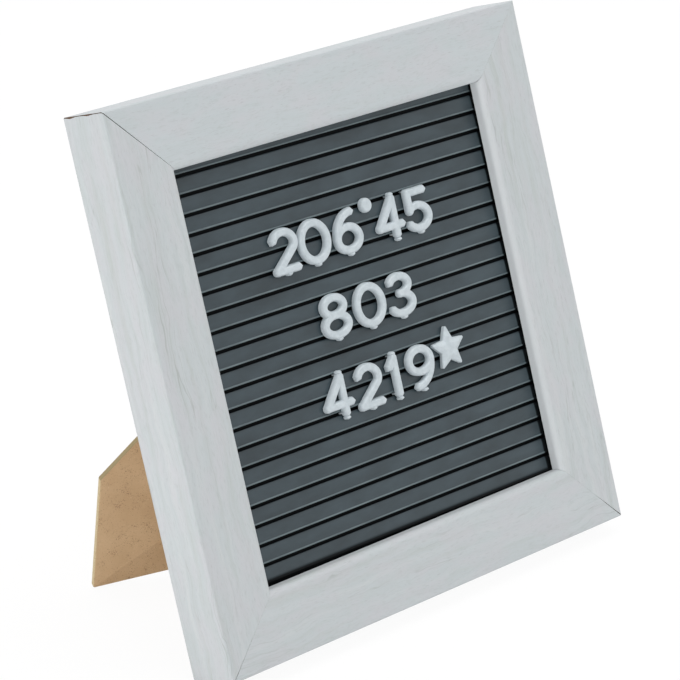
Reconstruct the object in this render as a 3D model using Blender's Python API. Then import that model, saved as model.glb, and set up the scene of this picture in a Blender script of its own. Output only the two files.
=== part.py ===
"""Table-top message board: a square frame of four mitred mouldings round a grooved letter panel,
with push-in moulded numerals and a diagonal easel strut hinged at the middle of the back.

Metres, +Z up. The board leans back, its front faces -Y and it stands on its rear lower edge and on
the tip of the strut. The pieces are laid out in the board's own upright frame (x to the right, y
from the front face towards the back, z up from the lower edge), and one empty leans them back."""

import math

import bmesh
import bpy
from mathutils import Matrix, Vector

# Clearance that keeps two touching pieces apart
GAP = 0.0003

# Frame moulding
BOARD_SIDE = 0.240
BOARD_DEPTH = 0.026
FACE_WIDTH = 0.0308
OUTER_ROUND = 0.0008
LIP_ROUND = 0.0031
LIP_DEPTH = 0.0065
PANEL_REBATE = 0.005
BACK_REBATE = 0.005
REAR_CHAMFER = 0.0005
ROUND_STEPS = 8

# Grooved letter panel, which sits a little skew in its rebate
PANEL_THICKNESS = 0.0032
PANEL_SETBACK = 0.0011
PANEL_PLAY = 0.001
PANEL_SKEW = math.radians(0.42)
GROOVE_PITCH = 0.00832
FIRST_GROOVE = 0.00385
GROOVE_WIDTH = 0.0015
GROOVE_NECK = 0.0009
GROOVE_DEPTH = 0.0021
GROOVE_UNDERCUT = 0.0005
BEAD_HEIGHT = 0.0009
BEAD_RISE = 0.0003
SLAT_EDGE = 0.00025

# Back board and the clips that hold it in
BACK_THICKNESS = 0.003
BUTTON_LENGTH = 0.022
BUTTON_WIDTH = 0.010
BUTTON_THICKNESS = 0.0009
BUTTON_BOSS = 0.0030
BUTTON_BOSS_RISE = 0.0007
BUTTON_PLACE = 0.054

# Push-in characters
STROKE_WIDTH = 0.0036
STROKE_RISE = 0.0024
STROKE_LEVELS = ((1.0, 0.0), (0.95, 0.62), (0.76, 0.9), (0.45, 1.0))
TAB_BELOW = 0.0023
TAB_ABOVE = 0.0008
TAB_THICKNESS = 0.0007
TAB_WIDTH = 0.0022
TAB_REACH = 0.0016
TAB_GROOVE_STEPS = 2
PIP_RADIUS = 0.0009
STAR_RADIUS = 0.0106
STAR_WAIST = 0.47
STAR_POINT_ROUND = 0.0011
STAR_SIZES = (1.0, 0.97, 0.86, 0.72)
DOT_DIAMETER = 0.0064

# Easel strut and its hinge
LEAN = math.radians(18)
OPEN_ANGLE = math.radians(35.5)
STRUT_TURN = math.radians(45.8)
STRUT_HALF_WIDTH = 0.0359
STRUT_POINT = math.radians(40.6)
STRUT_THICKNESS = 0.003
STRUT_TOP_CUT = 0.012
STRUT_TIP_ROUND = 0.0008
STRUT_CHAMFER = 0.0003
LEAF_THICKNESS = 0.001
LEAF_HALF_WIDTH = 0.021
LEAF_LENGTH = 0.026
LEAF_CORNER = 0.004
BASE_LEAF_HALF_WIDTH = 0.016
BASE_LEAF_LENGTH = 0.022
KNUCKLE_RADIUS = 0.0022
KNUCKLE_PROUD = 0.0001
PIN_RADIUS = 0.0011
PIN_CLEARANCE = 0.00008
PIN_HEAD_RADIUS = 0.0018
PIN_HEAD_LENGTH = 0.0008
MIDDLE_KNUCKLE = 0.014
PIN_SEGMENTS = 24

# Colours as sRGB bytes, with roughness and metallic
FOIL = ("whitewashed_foil", (198, 204, 206), 0.55, 0.0)
PANEL_PLASTIC = ("slate_plastic", (74, 83, 87), 0.5, 0.0)
WHITE_PLASTIC = ("white_plastic", (212, 219, 226), 0.42, 0.0)
FIBREBOARD = ("brown_fibreboard", (168, 138, 104), 0.75, 0.0)
ZINC_STEEL = ("zinc_steel", (176, 178, 180), 0.35, 1.0)

# Rows of characters: the groove that takes the lower tabs, then each shape, its centre across the
# board and its width, in millimetres
ROWS = (
    (6, (("2", -37.7, 15.6), ("0", -20.6, 18.4), ("6", -1.1, 16.4), ("dot", 12.0, 6.4),
         ("4", 24.4, 17.0), ("5", 41.4, 15.6))),
    (10, (("8", -17.8, 17.0), ("0", 2.6, 18.4), ("3", 21.2, 16.4))),
    (14, (("4", -25.8, 17.6), ("2", -7.3, 15.6), ("1", 7.6, 7.6), ("9", 24.1, 16.4))),
)
STAR_CENTRE = (0.0425, 0.1003)

HALF_SIDE = BOARD_SIDE / 2
OPENING_HALF = HALF_SIDE - FACE_WIDTH
PANEL_FRONT = LIP_DEPTH + PANEL_SETBACK
PANEL_HALF = OPENING_HALF + PANEL_REBATE - PANEL_PLAY
BACK_STEP = BOARD_DEPTH - BACK_THICKNESS - 2 * GAP
BACK_HALF = OPENING_HALF + PANEL_REBATE + BACK_REBATE - GAP
BACK_REAR = BACK_STEP + GAP + BACK_THICKNESS
TOP_OF_OPENING = BOARD_SIDE - FACE_WIDTH
GROOVE_COUNT = 1 + int((2 * OPENING_HALF - FIRST_GROOVE + GROOVE_WIDTH / 2) / GROOVE_PITCH)
CHARACTER_HEIGHT = TAB_BELOW + TAB_GROOVE_STEPS * GROOVE_PITCH + TAB_ABOVE
PIN_DEPTH = BACK_REAR + GAP + KNUCKLE_RADIUS
BORE_RADIUS = PIN_RADIUS + PIN_CLEARANCE


def linear(byte):
    """Scene-linear value of one sRGB byte."""
    value = byte / 255
    return value / 12.92 if value <= 0.04045 else ((value + 0.055) / 1.055) ** 2.4


def material(settings):
    """The Principled material of these settings, made once."""
    name, colour, roughness, metallic = settings
    if name in bpy.data.materials:
        return bpy.data.materials[name]
    made = bpy.data.materials.new(name)
    made.use_nodes = True
    shader = made.node_tree.nodes["Principled BSDF"]
    shader.inputs["Base Color"].default_value = (*map(linear, colour), 1)
    shader.inputs["Roughness"].default_value = roughness
    shader.inputs["Metallic"].default_value = metallic
    made.diffuse_color = (*map(linear, colour), 1)
    return made


def empty(name, parent=None):
    """An empty, which only carries other pieces."""
    made = bpy.data.objects.new(name, None)
    bpy.context.scene.collection.objects.link(made)
    made.parent = parent
    return made


def solid(name, vertices, faces, settings, parent, smooth=False):
    """A closed mesh object with its faces turned outwards."""
    mesh = bpy.data.meshes.new(name)
    mesh.from_pydata([tuple(vertex) for vertex in vertices], [], faces)
    body = bmesh.new()
    body.from_mesh(mesh)
    bmesh.ops.recalc_face_normals(body, faces=body.faces)
    body.to_mesh(mesh)
    body.free()
    mesh.materials.append(material(settings))
    if smooth:
        mesh.shade_smooth()
        mesh.set_sharp_from_angle(angle=math.radians(35))
    made = bpy.data.objects.new(name, mesh)
    bpy.context.scene.collection.objects.link(made)
    made.parent = parent
    return made


def loft(rings):
    """Vertices and faces of a solid through closed rings of equal length, with flat ends."""
    count = len(rings[0])
    vertices = [point for ring in rings for point in ring]
    faces = [tuple(range(count)), tuple(range((len(rings) - 1) * count, len(rings) * count))]
    for level in range(len(rings) - 1):
        for i in range(count):
            j = (i + 1) % count
            low, high = level * count, (level + 1) * count
            faces.append((low + i, low + j, high + j, high + i))
    return vertices, faces


def ring_sweep(sections):
    """Vertices and faces of a closed loop of closed sections."""
    count, turns = len(sections[0]), len(sections)
    vertices = [point for section in sections for point in section]
    faces = []
    for turn in range(turns):
        low, high = turn * count, (turn + 1) % turns * count
        for i in range(count):
            j = (i + 1) % count
            faces.append((low + i, low + j, high + j, high + i))
    return vertices, faces


def arc(centre, radii, start, end, steps):
    """Points along an ellipse from one angle to another, in degrees."""
    points = []
    for i in range(steps + 1):
        angle = math.radians(start + (end - start) * i / steps)
        points.append((centre[0] + radii[0] * math.cos(angle), centre[1] + radii[1] * math.sin(angle)))
    return points


def join(target, others):
    """Unions other closed meshes into the target, which keeps its name."""
    for other in others:
        other.hide_render = True
        other.display_type = "WIRE"
        union = target.modifiers.new("join_" + other.name, "BOOLEAN")
        union.operation = "UNION"
        union.object = other
    return target


def cut(target, cutter):
    """Cuts one closed mesh out of the target."""
    cutter.hide_render = True
    cutter.display_type = "WIRE"
    difference = target.modifiers.new("cut_" + cutter.name, "BOOLEAN")
    difference.operation = "DIFFERENCE"
    difference.object = cutter


def moulding_profile():
    """Section of the frame moulding as (inset from the outer edge, depth) points."""
    points = arc((OUTER_ROUND, OUTER_ROUND), (OUTER_ROUND, OUTER_ROUND), 180, 270, ROUND_STEPS)
    lip_centre = (FACE_WIDTH - LIP_ROUND, LIP_ROUND)
    points += arc(lip_centre, (LIP_ROUND, LIP_ROUND), -90, 0, ROUND_STEPS)
    points.append((FACE_WIDTH, LIP_DEPTH))
    panel_wall = FACE_WIDTH - PANEL_REBATE
    points.append((panel_wall, LIP_DEPTH))
    points.append((panel_wall, BACK_STEP))
    back_wall = panel_wall - BACK_REBATE
    points.append((back_wall, BACK_STEP))
    points.append((back_wall, BOARD_DEPTH - REAR_CHAMFER))
    points.append((back_wall - REAR_CHAMFER, BOARD_DEPTH))
    points.append((REAR_CHAMFER, BOARD_DEPTH))
    points.append((0, BOARD_DEPTH - REAR_CHAMFER))
    return points


def add_moulding(name, quarter_turns, parent):
    """One mitred length of moulding, turned about the middle of the board."""
    mitre_back = GAP / 2 * math.sqrt(2)
    turn = Matrix.Rotation(-quarter_turns * math.pi / 2, 3, "Y")
    rings = []
    for side in (-1, 1):
        ring = []
        for inset, depth in moulding_profile():
            along = side * (HALF_SIDE - inset - mitre_back)
            ring.append(turn @ Vector((along, depth, inset - HALF_SIDE)) + Vector((0, 0, HALF_SIDE)))
        rings.append(ring)
    return solid(name, *loft(rings), FOIL, parent, smooth=True)


def groove_heights():
    """Height of each groove's middle, from the top down."""
    return [TOP_OF_OPENING - FIRST_GROOVE - i * GROOVE_PITCH for i in range(GROOVE_COUNT)]


def skewed_frame(board):
    """An empty that turns the panel and its characters about the middle of the board."""
    skewed = empty("panel_skew", board)
    middle = Matrix.Translation((0, 0, HALF_SIDE))
    skewed.matrix_local = middle @ Matrix.Rotation(PANEL_SKEW, 4, "Y") @ middle.inverted()
    return skewed


def panel_profile():
    """Section of the letter panel as (depth, height) points: beaded slats over T-shaped grooves."""
    front, rear = PANEL_FRONT, PANEL_FRONT + PANEL_THICKNESS
    top, bottom = HALF_SIDE + PANEL_HALF, HALF_SIDE - PANEL_HALF
    points = [(rear, top), (front, top)]
    for height in groove_heights():
        upper, lower = height + GROOVE_WIDTH / 2, height - GROOVE_WIDTH / 2
        bead_centre = (front, upper + BEAD_HEIGHT / 2)
        points += arc(bead_centre, (BEAD_RISE, BEAD_HEIGHT / 2), 90, 270, 4)
        points.append((front + GROOVE_NECK, upper))
        points.append((front + GROOVE_NECK, upper + GROOVE_UNDERCUT))
        points.append((front + GROOVE_DEPTH, upper + GROOVE_UNDERCUT))
        points.append((front + GROOVE_DEPTH, lower - GROOVE_UNDERCUT))
        points.append((front + GROOVE_NECK, lower - GROOVE_UNDERCUT))
        points.append((front + GROOVE_NECK, lower))
        points.append((front + SLAT_EDGE, lower))
        points.append((front, lower - SLAT_EDGE))
    points += [(front, bottom), (rear, bottom)]
    return points


def add_panel(parent):
    """The one-piece grooved panel that takes the characters."""
    rings = []
    for side in (-PANEL_HALF, PANEL_HALF):
        rings.append([(side, depth, height) for depth, height in panel_profile()])
    return solid("letter_panel", *loft(rings), PANEL_PLASTIC, parent)


def box(name, low, high, settings, parent):
    """A plain block between two corners."""
    rings = []
    for depth in (low[1], high[1]):
        rings.append([(low[0], depth, low[2]), (high[0], depth, low[2]),
                      (high[0], depth, high[2]), (low[0], depth, high[2])])
    return solid(name, *loft(rings), settings, parent)


def add_battens(parent):
    """Four battens that press the panel's edges against the lip, ahead of the back board."""
    front = PANEL_FRONT + PANEL_THICKNESS + GAP
    outer = OPENING_HALF + PANEL_REBATE - GAP
    inner = OPENING_HALF + GAP
    for name, side in (("batten_top", 1), ("batten_bottom", -1)):
        low, high = sorted((HALF_SIDE + side * inner, HALF_SIDE + side * outer))
        box(name, (-outer, front, low), (outer, BACK_STEP, high), FIBREBOARD, parent)
    for name, side in (("batten_right", 1), ("batten_left", -1)):
        low, high = sorted((side * inner, side * outer))
        reach = inner - GAP
        box(name, (low, front, HALF_SIDE - reach), (high, BACK_STEP, HALF_SIDE + reach),
            FIBREBOARD, parent)


def add_back_board(parent):
    """The fibreboard back, set flush in the rear rebate."""
    front = BACK_STEP + GAP
    board = box("back_board", (-BACK_HALF, front, HALF_SIDE - BACK_HALF),
                (BACK_HALF, BACK_REAR, HALF_SIDE + BACK_HALF), FIBREBOARD, parent)
    edge = board.modifiers.new("eased_edges", "BEVEL")
    edge.width = REAR_CHAMFER / 2
    edge.segments = 1
    return board


def slot_outline(length, width, steps):
    """A slot-shaped outline about the origin, long across."""
    reach = (length - width) / 2
    points = arc((reach, 0), (width / 2, width / 2), -90, 90, steps)
    return points + arc((-reach, 0), (width / 2, width / 2), 90, 270, steps)


def add_turn_button(name, centre, across, parent):
    """A clip that swivels on the frame's rear face. It laps over the back board as drawn, and
    clears it when turned along its rail."""
    rear = BOARD_DEPTH + GAP
    outline = slot_outline(BUTTON_LENGTH, BUTTON_WIDTH, ROUND_STEPS)
    boss = arc((0, 0), (BUTTON_BOSS, BUTTON_BOSS), 0, 345, 23)
    turned = [(x, z) if across else (-z, x) for x, z in outline]
    plate = loft([[(centre[0] + x, depth, centre[1] + z) for x, z in turned]
                  for depth in (rear, rear + BUTTON_THICKNESS)])
    crown = loft([[(centre[0] + x * size, depth, centre[1] + z * size) for x, z in boss]
                  for depth, size in ((rear + BUTTON_THICKNESS / 2, 1.0),
                                      (rear + BUTTON_THICKNESS + BUTTON_BOSS_RISE / 2, 1.0),
                                      (rear + BUTTON_THICKNESS + BUTTON_BOSS_RISE, 0.6))])
    button = solid(name, *plate, ZINC_STEEL, parent)
    join(button, [solid(name + "_crown", *crown, ZINC_STEEL, parent)])


def stroke_levels():
    """Width factor and depth of each level of a moulded stroke, from its back to its crown."""
    back = PANEL_FRONT - BEAD_RISE - GAP
    return [(factor, back - rise * STROKE_RISE) for factor, rise in STROKE_LEVELS]


def normals(path, closed):
    """Unit normals along a path in its plane, each square to the chord of its neighbours."""
    found = []
    last = len(path) - 1
    for i in range(len(path)):
        before = path[i - 1] if closed or i > 0 else path[i]
        after = path[(i + 1) % len(path)] if closed or i < last else path[i]
        along = (Vector(after) - Vector(before)).normalized()
        found.append(Vector((-along.y, along.x)))
    return found


def open_stroke(path):
    """A moulded stroke along an open path, with round ends."""
    sides = normals(path, False)
    half = STROKE_WIDTH / 2
    rings = []
    for factor, depth in stroke_levels():
        width = half * factor
        outline = [Vector(point) + side * width for point, side in zip(path, sides)]
        for end, side, sign in ((path[-1], sides[-1], 1), (path[0], sides[0], -1)):
            facing = math.degrees(math.atan2(side.y, side.x)) + (0 if sign > 0 else 180)
            cap = arc(end, (width, width), facing - 30, facing - 150, 4)
            outline += [Vector(point) for point in cap]
            if sign > 0:
                outline += [Vector(point) - normal * width
                            for point, normal in reversed(list(zip(path, sides)))]
        rings.append([(point.x, depth, point.y) for point in outline])
    return loft(rings)


def closed_stroke(path):
    """A moulded stroke round a closed path."""
    sides = normals(path, True)
    half = STROKE_WIDTH / 2
    levels = stroke_levels()
    sections = []
    for point, side in zip(path, sides):
        section = []
        for direction, order in ((1, levels), (-1, reversed(levels))):
            for factor, depth in order:
                place = Vector(point) + side * half * factor * direction
                section.append((place.x, depth, place.y))
        sections.append(section)
    return ring_sweep(sections)


def turned_over(strokes, height):
    """The same strokes after half a turn about the middle of the character."""
    return [([(-x, height - z) for x, z in path], closed) for path, closed in strokes]


def numeral_strokes(shape, width, height):
    """Centre lines of one character about its foot, as (points, closed) pairs."""
    half = (width - STROKE_WIDTH) / 2
    low, high = STROKE_WIDTH / 2, height - STROKE_WIDTH / 2
    rise = high - low
    middle = (low + high) / 2
    if shape == "0":
        return [(arc((0, middle), (half, rise / 2), 0, 345, 23), True)]
    if shape == "1":
        stem = half * 0.7
        return [([(stem, low), (stem, high)], False),
                ([(stem, high), (-half, high - 0.24 * rise)], False)]
    if shape == "2":
        bowl = 0.3 * rise
        hook = arc((0, high - bowl), (half, bowl), 160, -30, 10)
        return [(hook + [(-half, low)], False), ([(-half, low), (half, low)], False)]
    if shape == "3":
        upper, lower = 0.235 * rise, 0.265 * rise
        return [(arc((0, high - upper), (0.88 * half, upper), 155, -90, 11), False),
                (arc((0, low + lower), (half, lower), 90, -155, 11), False)]
    if shape == "4":
        stem, bar = 0.4 * half, low + 0.27 * rise
        return [([(stem, high), (-half, bar)], False), ([(-half, bar), (half, bar)], False),
                ([(stem, low), (stem, high)], False)]
    if shape == "5":
        bowl, left = 0.31 * rise, -0.78 * half
        return [([(left, high), (0.85 * half, high)], False),
                ([(left, high), (left, middle)], False),
                (arc((-0.05 * half, low + bowl), (1.05 * half, bowl), 135, -150, 12), False)]
    if shape == "6":
        bowl = 0.31 * rise
        shoulder = (0.62 * half, low + bowl)
        neck = arc(shoulder, (half + shoulder[0], high - shoulder[1]), 92, 178, 6)
        return [(arc((0, low + bowl), (half, bowl), 0, 340, 17), True), (neck, False)]
    if shape == "8":
        upper, lower = 0.235 * rise, 0.265 * rise
        return [(arc((0, low + lower), (half, lower), 0, 340, 17), True),
                (arc((0, high - upper), (0.86 * half, upper), 0, 340, 17), True)]
    return turned_over(numeral_strokes("6", width, height), height)


def add_tabs(name, places, parent):
    """The small tabs behind a character that press into the grooves, at the given places."""
    back = PANEL_FRONT - BEAD_RISE - GAP
    tabs = []
    for number, (across, height) in enumerate(places):
        low = (across - TAB_WIDTH / 2, back - STROKE_RISE / 3, height - TAB_THICKNESS / 2)
        high = (across + TAB_WIDTH / 2, PANEL_FRONT + TAB_REACH, height + TAB_THICKNESS / 2)
        tabs.append(box(f"{name}_tab_{number}", low, high, WHITE_PLASTIC, parent))
    return tabs


def tab_across(strokes, height):
    """Where a character has material to carry a tab at this height, nearest its middle."""
    best = None
    for path, closed in strokes:
        points = path + path[:1] if closed else path
        for start, end in zip(points, points[1:]):
            for step in range(9):
                x = start[0] + (end[0] - start[0]) * step / 8
                z = start[1] + (end[1] - start[1]) * step / 8
                miss = (max(abs(z - height) - STROKE_WIDTH / 5, 0), abs(x))
                if best is None or miss < best[0]:
                    best = (miss, x)
    return best[1]


def add_character(name, shape, across, width, groove, parent):
    """One moulded character, pressed into two grooves by its tabs."""
    heights = groove_heights()
    foot = heights[groove] - TAB_BELOW
    if shape == "dot":
        top = heights[groove - TAB_GROOVE_STEPS] + TAB_ABOVE
        centre = top - DOT_DIAMETER / 2 + STROKE_WIDTH / 2
        reach = (DOT_DIAMETER - STROKE_WIDTH) / 2
        base = arc((across, centre), (reach, reach), 0, 330, 11)
        rings = [[(across + (x - across) * (1 + factor), depth, centre + (z - centre) * (1 + factor))
                  for x, z in base] for factor, depth in stroke_levels()]
        character = solid(name, *loft(rings), WHITE_PLASTIC, parent, smooth=True)
        tabs = add_tabs(name, [(across, heights[groove - TAB_GROOVE_STEPS])], parent)
        return join(character, tabs)
    strokes = numeral_strokes(shape, width, CHARACTER_HEIGHT)
    pieces = []
    for number, (path, closed) in enumerate(strokes):
        placed = [(across + x, foot + z) for x, z in path]
        shape_of = closed_stroke if closed else open_stroke
        piece_name = name if number == 0 else f"{name}_stroke_{number}"
        pieces.append(solid(piece_name, *shape_of(placed), WHITE_PLASTIC, parent, smooth=True))
    places = []
    for level in (heights[groove], heights[groove - TAB_GROOVE_STEPS]):
        places.append((across + tab_across(strokes, level - foot), level))
    pip_place = across + tab_across(strokes, STROKE_WIDTH / 2)
    levels = stroke_levels()
    pip = arc((pip_place, foot), (PIP_RADIUS * 1.6, PIP_RADIUS), 0, 330, 11)
    pip_rings = [[(x, depth, z) for x, z in pip] for depth in (levels[0][1], levels[1][1])]
    pip_solid = solid(name + "_pip", *loft(pip_rings), WHITE_PLASTIC, parent)
    return join(pieces[0], pieces[1:] + add_tabs(name, places, parent) + [pip_solid])


def star_outline():
    """Five-pointed star about the origin, with rounded points."""
    points = []
    for corner in range(5):
        angle = math.radians(90 + 72 * corner)
        tip_centre = STAR_RADIUS - 2 * STAR_POINT_ROUND
        centre = (tip_centre * math.cos(angle), tip_centre * math.sin(angle))
        facing = math.degrees(angle)
        points += arc(centre, (STAR_POINT_ROUND, STAR_POINT_ROUND), facing - 65, facing + 65, 4)
        waist = math.radians(90 + 72 * corner + 36)
        reach = STAR_RADIUS * STAR_WAIST
        points.append((reach * math.cos(waist), reach * math.sin(waist)))
    return points


def add_star(parent):
    """The star that ends the last row, held by one tab."""
    across, up = STAR_CENTRE
    outline = star_outline()
    rings = [[(across + x * size, depth, up + z * size) for x, z in outline]
             for size, (_, depth) in zip(STAR_SIZES, stroke_levels())]
    star = solid("row3_star", *loft(rings), WHITE_PLASTIC, parent, smooth=True)
    nearest = min(groove_heights(), key=lambda height: abs(height - up))
    return join(star, add_tabs("row3_star", [(across, nearest)], parent))


def add_characters(parent):
    """All rows of characters and the star."""
    for row_number, (groove, shapes) in enumerate(ROWS, start=1):
        for place, (shape, across, width) in enumerate(shapes, start=1):
            kind = "dot" if shape == "dot" else "numeral_" + shape
            name = f"row{row_number}_{place}_{kind}"
            add_character(name, shape, across / 1000, width / 1000, groove, parent)
    add_star(parent)


def hinge_frame(board):
    """Empties at the pin's axis: x along the pin, y away from the back, z up the closed strut."""
    fixed = empty("hinge_axis", board)
    across = Vector((math.cos(STRUT_TURN), 0, -math.sin(STRUT_TURN)))
    away = Vector((0, 1, 0))
    up = across.cross(away)
    turn = Matrix((across, away, up)).transposed()
    fixed.matrix_local = Matrix.Translation((0, PIN_DEPTH, HALF_SIDE)) @ turn.to_4x4()
    moving = empty("strut_axis", fixed)
    moving.rotation_euler = (OPEN_ANGLE, 0, 0)
    return fixed, moving


def pin_cylinder(name, radius, start, end, parent):
    """A round bar along the pin's axis."""
    rings = []
    step = 360 / PIN_SEGMENTS
    for along in (start, end):
        circle = arc((0, 0), (radius, radius), step / 2, 360 - step / 2, PIN_SEGMENTS - 1)
        rings.append([(along, y, z) for y, z in circle])
    return solid(name, *loft(rings), ZINC_STEEL, parent, smooth=True)


def leaf_plate(name, outline, parent):
    """A flat leaf of this outline, lying on the back board when the strut is closed."""
    low = KNUCKLE_PROUD - KNUCKLE_RADIUS
    rings = [[(x, depth, z) for x, z in outline] for depth in (low, low + LEAF_THICKNESS)]
    return solid(name, *loft(rings), ZINC_STEEL, parent)


def add_base_leaf(fixed):
    """The fixed leaf, with a knuckle at each end of the pin."""
    inner = MIDDLE_KNUCKLE / 2 + GAP
    outer = BASE_LEAF_HALF_WIDTH
    clear = KNUCKLE_RADIUS + 2 * GAP
    outline = [(-outer, 0), (-outer, BASE_LEAF_LENGTH - LEAF_CORNER),
               (-outer + LEAF_CORNER, BASE_LEAF_LENGTH), (outer - LEAF_CORNER, BASE_LEAF_LENGTH),
               (outer, BASE_LEAF_LENGTH - LEAF_CORNER), (outer, 0), (inner, 0), (inner, clear),
               (-inner, clear), (-inner, 0)]
    leaf = leaf_plate("hinge_base_leaf", outline, fixed)
    knuckles = [pin_cylinder("base_knuckle_left", KNUCKLE_RADIUS, -outer, -inner, fixed),
                pin_cylinder("base_knuckle_right", KNUCKLE_RADIUS, inner, outer, fixed)]
    join(leaf, knuckles)
    reach = BASE_LEAF_HALF_WIDTH * 2
    cut(leaf, pin_cylinder("base_bore", BORE_RADIUS, -reach, reach, fixed))


def stop_reach():
    """How far the strut leaf's heels pass the pin so that they meet the back board when open."""
    drop = KNUCKLE_RADIUS - (KNUCKLE_RADIUS - KNUCKLE_PROUD) * math.cos(OPEN_ANGLE)
    return drop / math.sin(OPEN_ANGLE)


def add_strut_leaf(moving):
    """The moving leaf, with the middle knuckle and two heels that stop against the back board."""
    inner = MIDDLE_KNUCKLE / 2
    clear = -(KNUCKLE_RADIUS + 2 * GAP)
    heel = stop_reach()
    heel_inner = BASE_LEAF_HALF_WIDTH + PIN_HEAD_LENGTH + 3 * GAP
    outer = LEAF_HALF_WIDTH
    outline = [(-outer, heel), (-heel_inner, heel), (-heel_inner, clear), (-inner, clear),
               (-inner, 0), (inner, 0), (inner, clear), (heel_inner, clear), (heel_inner, heel),
               (outer, heel), (outer, -LEAF_LENGTH + LEAF_CORNER), (outer - LEAF_CORNER, -LEAF_LENGTH),
               (-outer + LEAF_CORNER, -LEAF_LENGTH), (-outer, -LEAF_LENGTH + LEAF_CORNER)]
    leaf = leaf_plate("strut_leaf", outline, moving)
    join(leaf, [pin_cylinder("middle_knuckle", KNUCKLE_RADIUS, -inner, inner, moving)])
    reach = MIDDLE_KNUCKLE
    cut(leaf, pin_cylinder("middle_bore", BORE_RADIUS, -reach, reach, moving))


def add_pin(fixed):
    """The hinge pin, with a peened head past each outer knuckle."""
    shoulder = BASE_LEAF_HALF_WIDTH + GAP
    pin = pin_cylinder("hinge_pin", PIN_RADIUS, -shoulder - PIN_HEAD_LENGTH / 2,
                       shoulder + PIN_HEAD_LENGTH / 2, fixed)
    heads = [pin_cylinder("head_left", PIN_HEAD_RADIUS, -shoulder - PIN_HEAD_LENGTH, -shoulder, fixed),
             pin_cylinder("head_right", PIN_HEAD_RADIUS, shoulder, shoulder + PIN_HEAD_LENGTH, fixed)]
    join(pin, heads)


def strut_outline(tip):
    """Outline of the strut as (across, down the strut) points, for this distance to its tip."""
    top = KNUCKLE_RADIUS + 4 * GAP
    half = STRUT_HALF_WIDTH
    shoulder = tip - half / math.tan(STRUT_POINT)
    round_centre = tip - STRUT_TIP_ROUND / math.sin(STRUT_POINT)
    spread = 90 - math.degrees(STRUT_POINT)
    nose = arc((0, round_centre), (STRUT_TIP_ROUND, STRUT_TIP_ROUND), 90 - spread, 90 + spread, 8)
    return [(-half + STRUT_TOP_CUT, top), (half - STRUT_TOP_CUT, top),
            (half, top + STRUT_TOP_CUT), (half, shoulder), *nose,
            (-half, shoulder), (-half, top + STRUT_TOP_CUT)]


def strut_front():
    """Depth of the strut's front face from the pin's axis, just behind the moving leaf."""
    return KNUCKLE_PROUD - KNUCKLE_RADIUS + LEAF_THICKNESS + GAP


def height_over_floor(across, down, board):
    """Height of a point on the open strut's front face above the board's rear lower edge."""
    turn = board["lean"] @ board["hinge"] @ Matrix.Rotation(OPEN_ANGLE, 3, "X")
    pin = board["lean"] @ Vector((0, PIN_DEPTH, HALF_SIDE))
    edge = board["lean"] @ Vector((0, BOARD_DEPTH - REAR_CHAMFER, 0))
    point = turn @ Vector((across, strut_front(), -down)) + pin
    return point.z - edge.z


def tip_distance(fixed):
    """Distance from the pin to the strut's tip that sets the tip's front edge on the floor."""
    board = {"lean": Matrix.Rotation(-LEAN, 3, "X"), "hinge": fixed.matrix_local.to_3x3()}
    tip = STRUT_HALF_WIDTH * 4
    for _ in range(3):
        lowest = min(height_over_floor(x, z, board) for x, z in strut_outline(tip))
        slope = height_over_floor(0, tip + 1, board) - height_over_floor(0, tip, board)
        tip -= lowest / slope
    return tip


def add_strut(fixed, moving):
    """The diagonal fibreboard strut, pointed so that it can stand on either side of its tip."""
    outline = strut_outline(tip_distance(fixed))
    front = strut_front()
    rings = [[(x, depth, -z) for x, z in outline] for depth in (front, front + STRUT_THICKNESS)]
    strut = solid("strut", *loft(rings), FIBREBOARD, moving)
    edge = strut.modifiers.new("eased_edges", "BEVEL")
    edge.width = STRUT_CHAMFER
    edge.segments = 1
    return strut


def set_on_origin(board):
    """Moves the whole so that the middle of its footprint is at the origin, on the floor."""
    bpy.context.view_layer.update()
    graph = bpy.context.evaluated_depsgraph_get()
    corners = []
    for piece in bpy.data.objects:
        if piece.type != "MESH" or piece.hide_render:
            continue
        evaluated = piece.evaluated_get(graph)
        corners += [evaluated.matrix_world @ vertex.co for vertex in evaluated.data.vertices]
    lows = [min(corner[axis] for corner in corners) for axis in range(3)]
    highs = [max(corner[axis] for corner in corners) for axis in range(3)]
    board.location = (-(lows[0] + highs[0]) / 2, -(lows[1] + highs[1]) / 2, -lows[2])


def build():
    """Makes every piece of the message board."""
    for old in list(bpy.data.objects):
        bpy.data.objects.remove(old)
    board = empty("board")
    board.rotation_euler = (-LEAN, 0, 0)
    mouldings = ("bottom_rail", "right_stile", "top_rail", "left_stile")
    for quarter_turns, name in enumerate(mouldings):
        add_moulding(name, quarter_turns, board)
    skew = skewed_frame(board)
    add_panel(skew)
    add_battens(board)
    add_back_board(board)
    button_inset = FACE_WIDTH - PANEL_REBATE - BACK_REBATE - BUTTON_WIDTH / 2 - GAP
    button_out = HALF_SIDE - button_inset
    add_turn_button("turn_button_top", (BUTTON_PLACE, HALF_SIDE + button_out), False, board)
    add_turn_button("turn_button_bottom", (BUTTON_PLACE, HALF_SIDE - button_out), False, board)
    add_turn_button("turn_button_right", (button_out, HALF_SIDE + BUTTON_PLACE / 2), True, board)
    add_turn_button("turn_button_left", (-button_out, HALF_SIDE + BUTTON_PLACE), True, board)
    add_characters(skew)
    fixed, moving = hinge_frame(board)
    bpy.context.view_layer.update()
    add_base_leaf(fixed)
    add_strut_leaf(moving)
    add_pin(fixed)
    add_strut(fixed, moving)
    set_on_origin(board)


build()
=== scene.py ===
"""Looks of the table-top message board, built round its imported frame.

The mouldings, the grooved panel, the characters, the strut and the hinge are drawn again with finer
surfaces than the solids have, each in its solid's place. Points are worked out in the board's own
upright frame (x to the right, y from the front face towards the back, z up from the lower edge), in
metres, and are then leaned back as the solids are."""

import math

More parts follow.
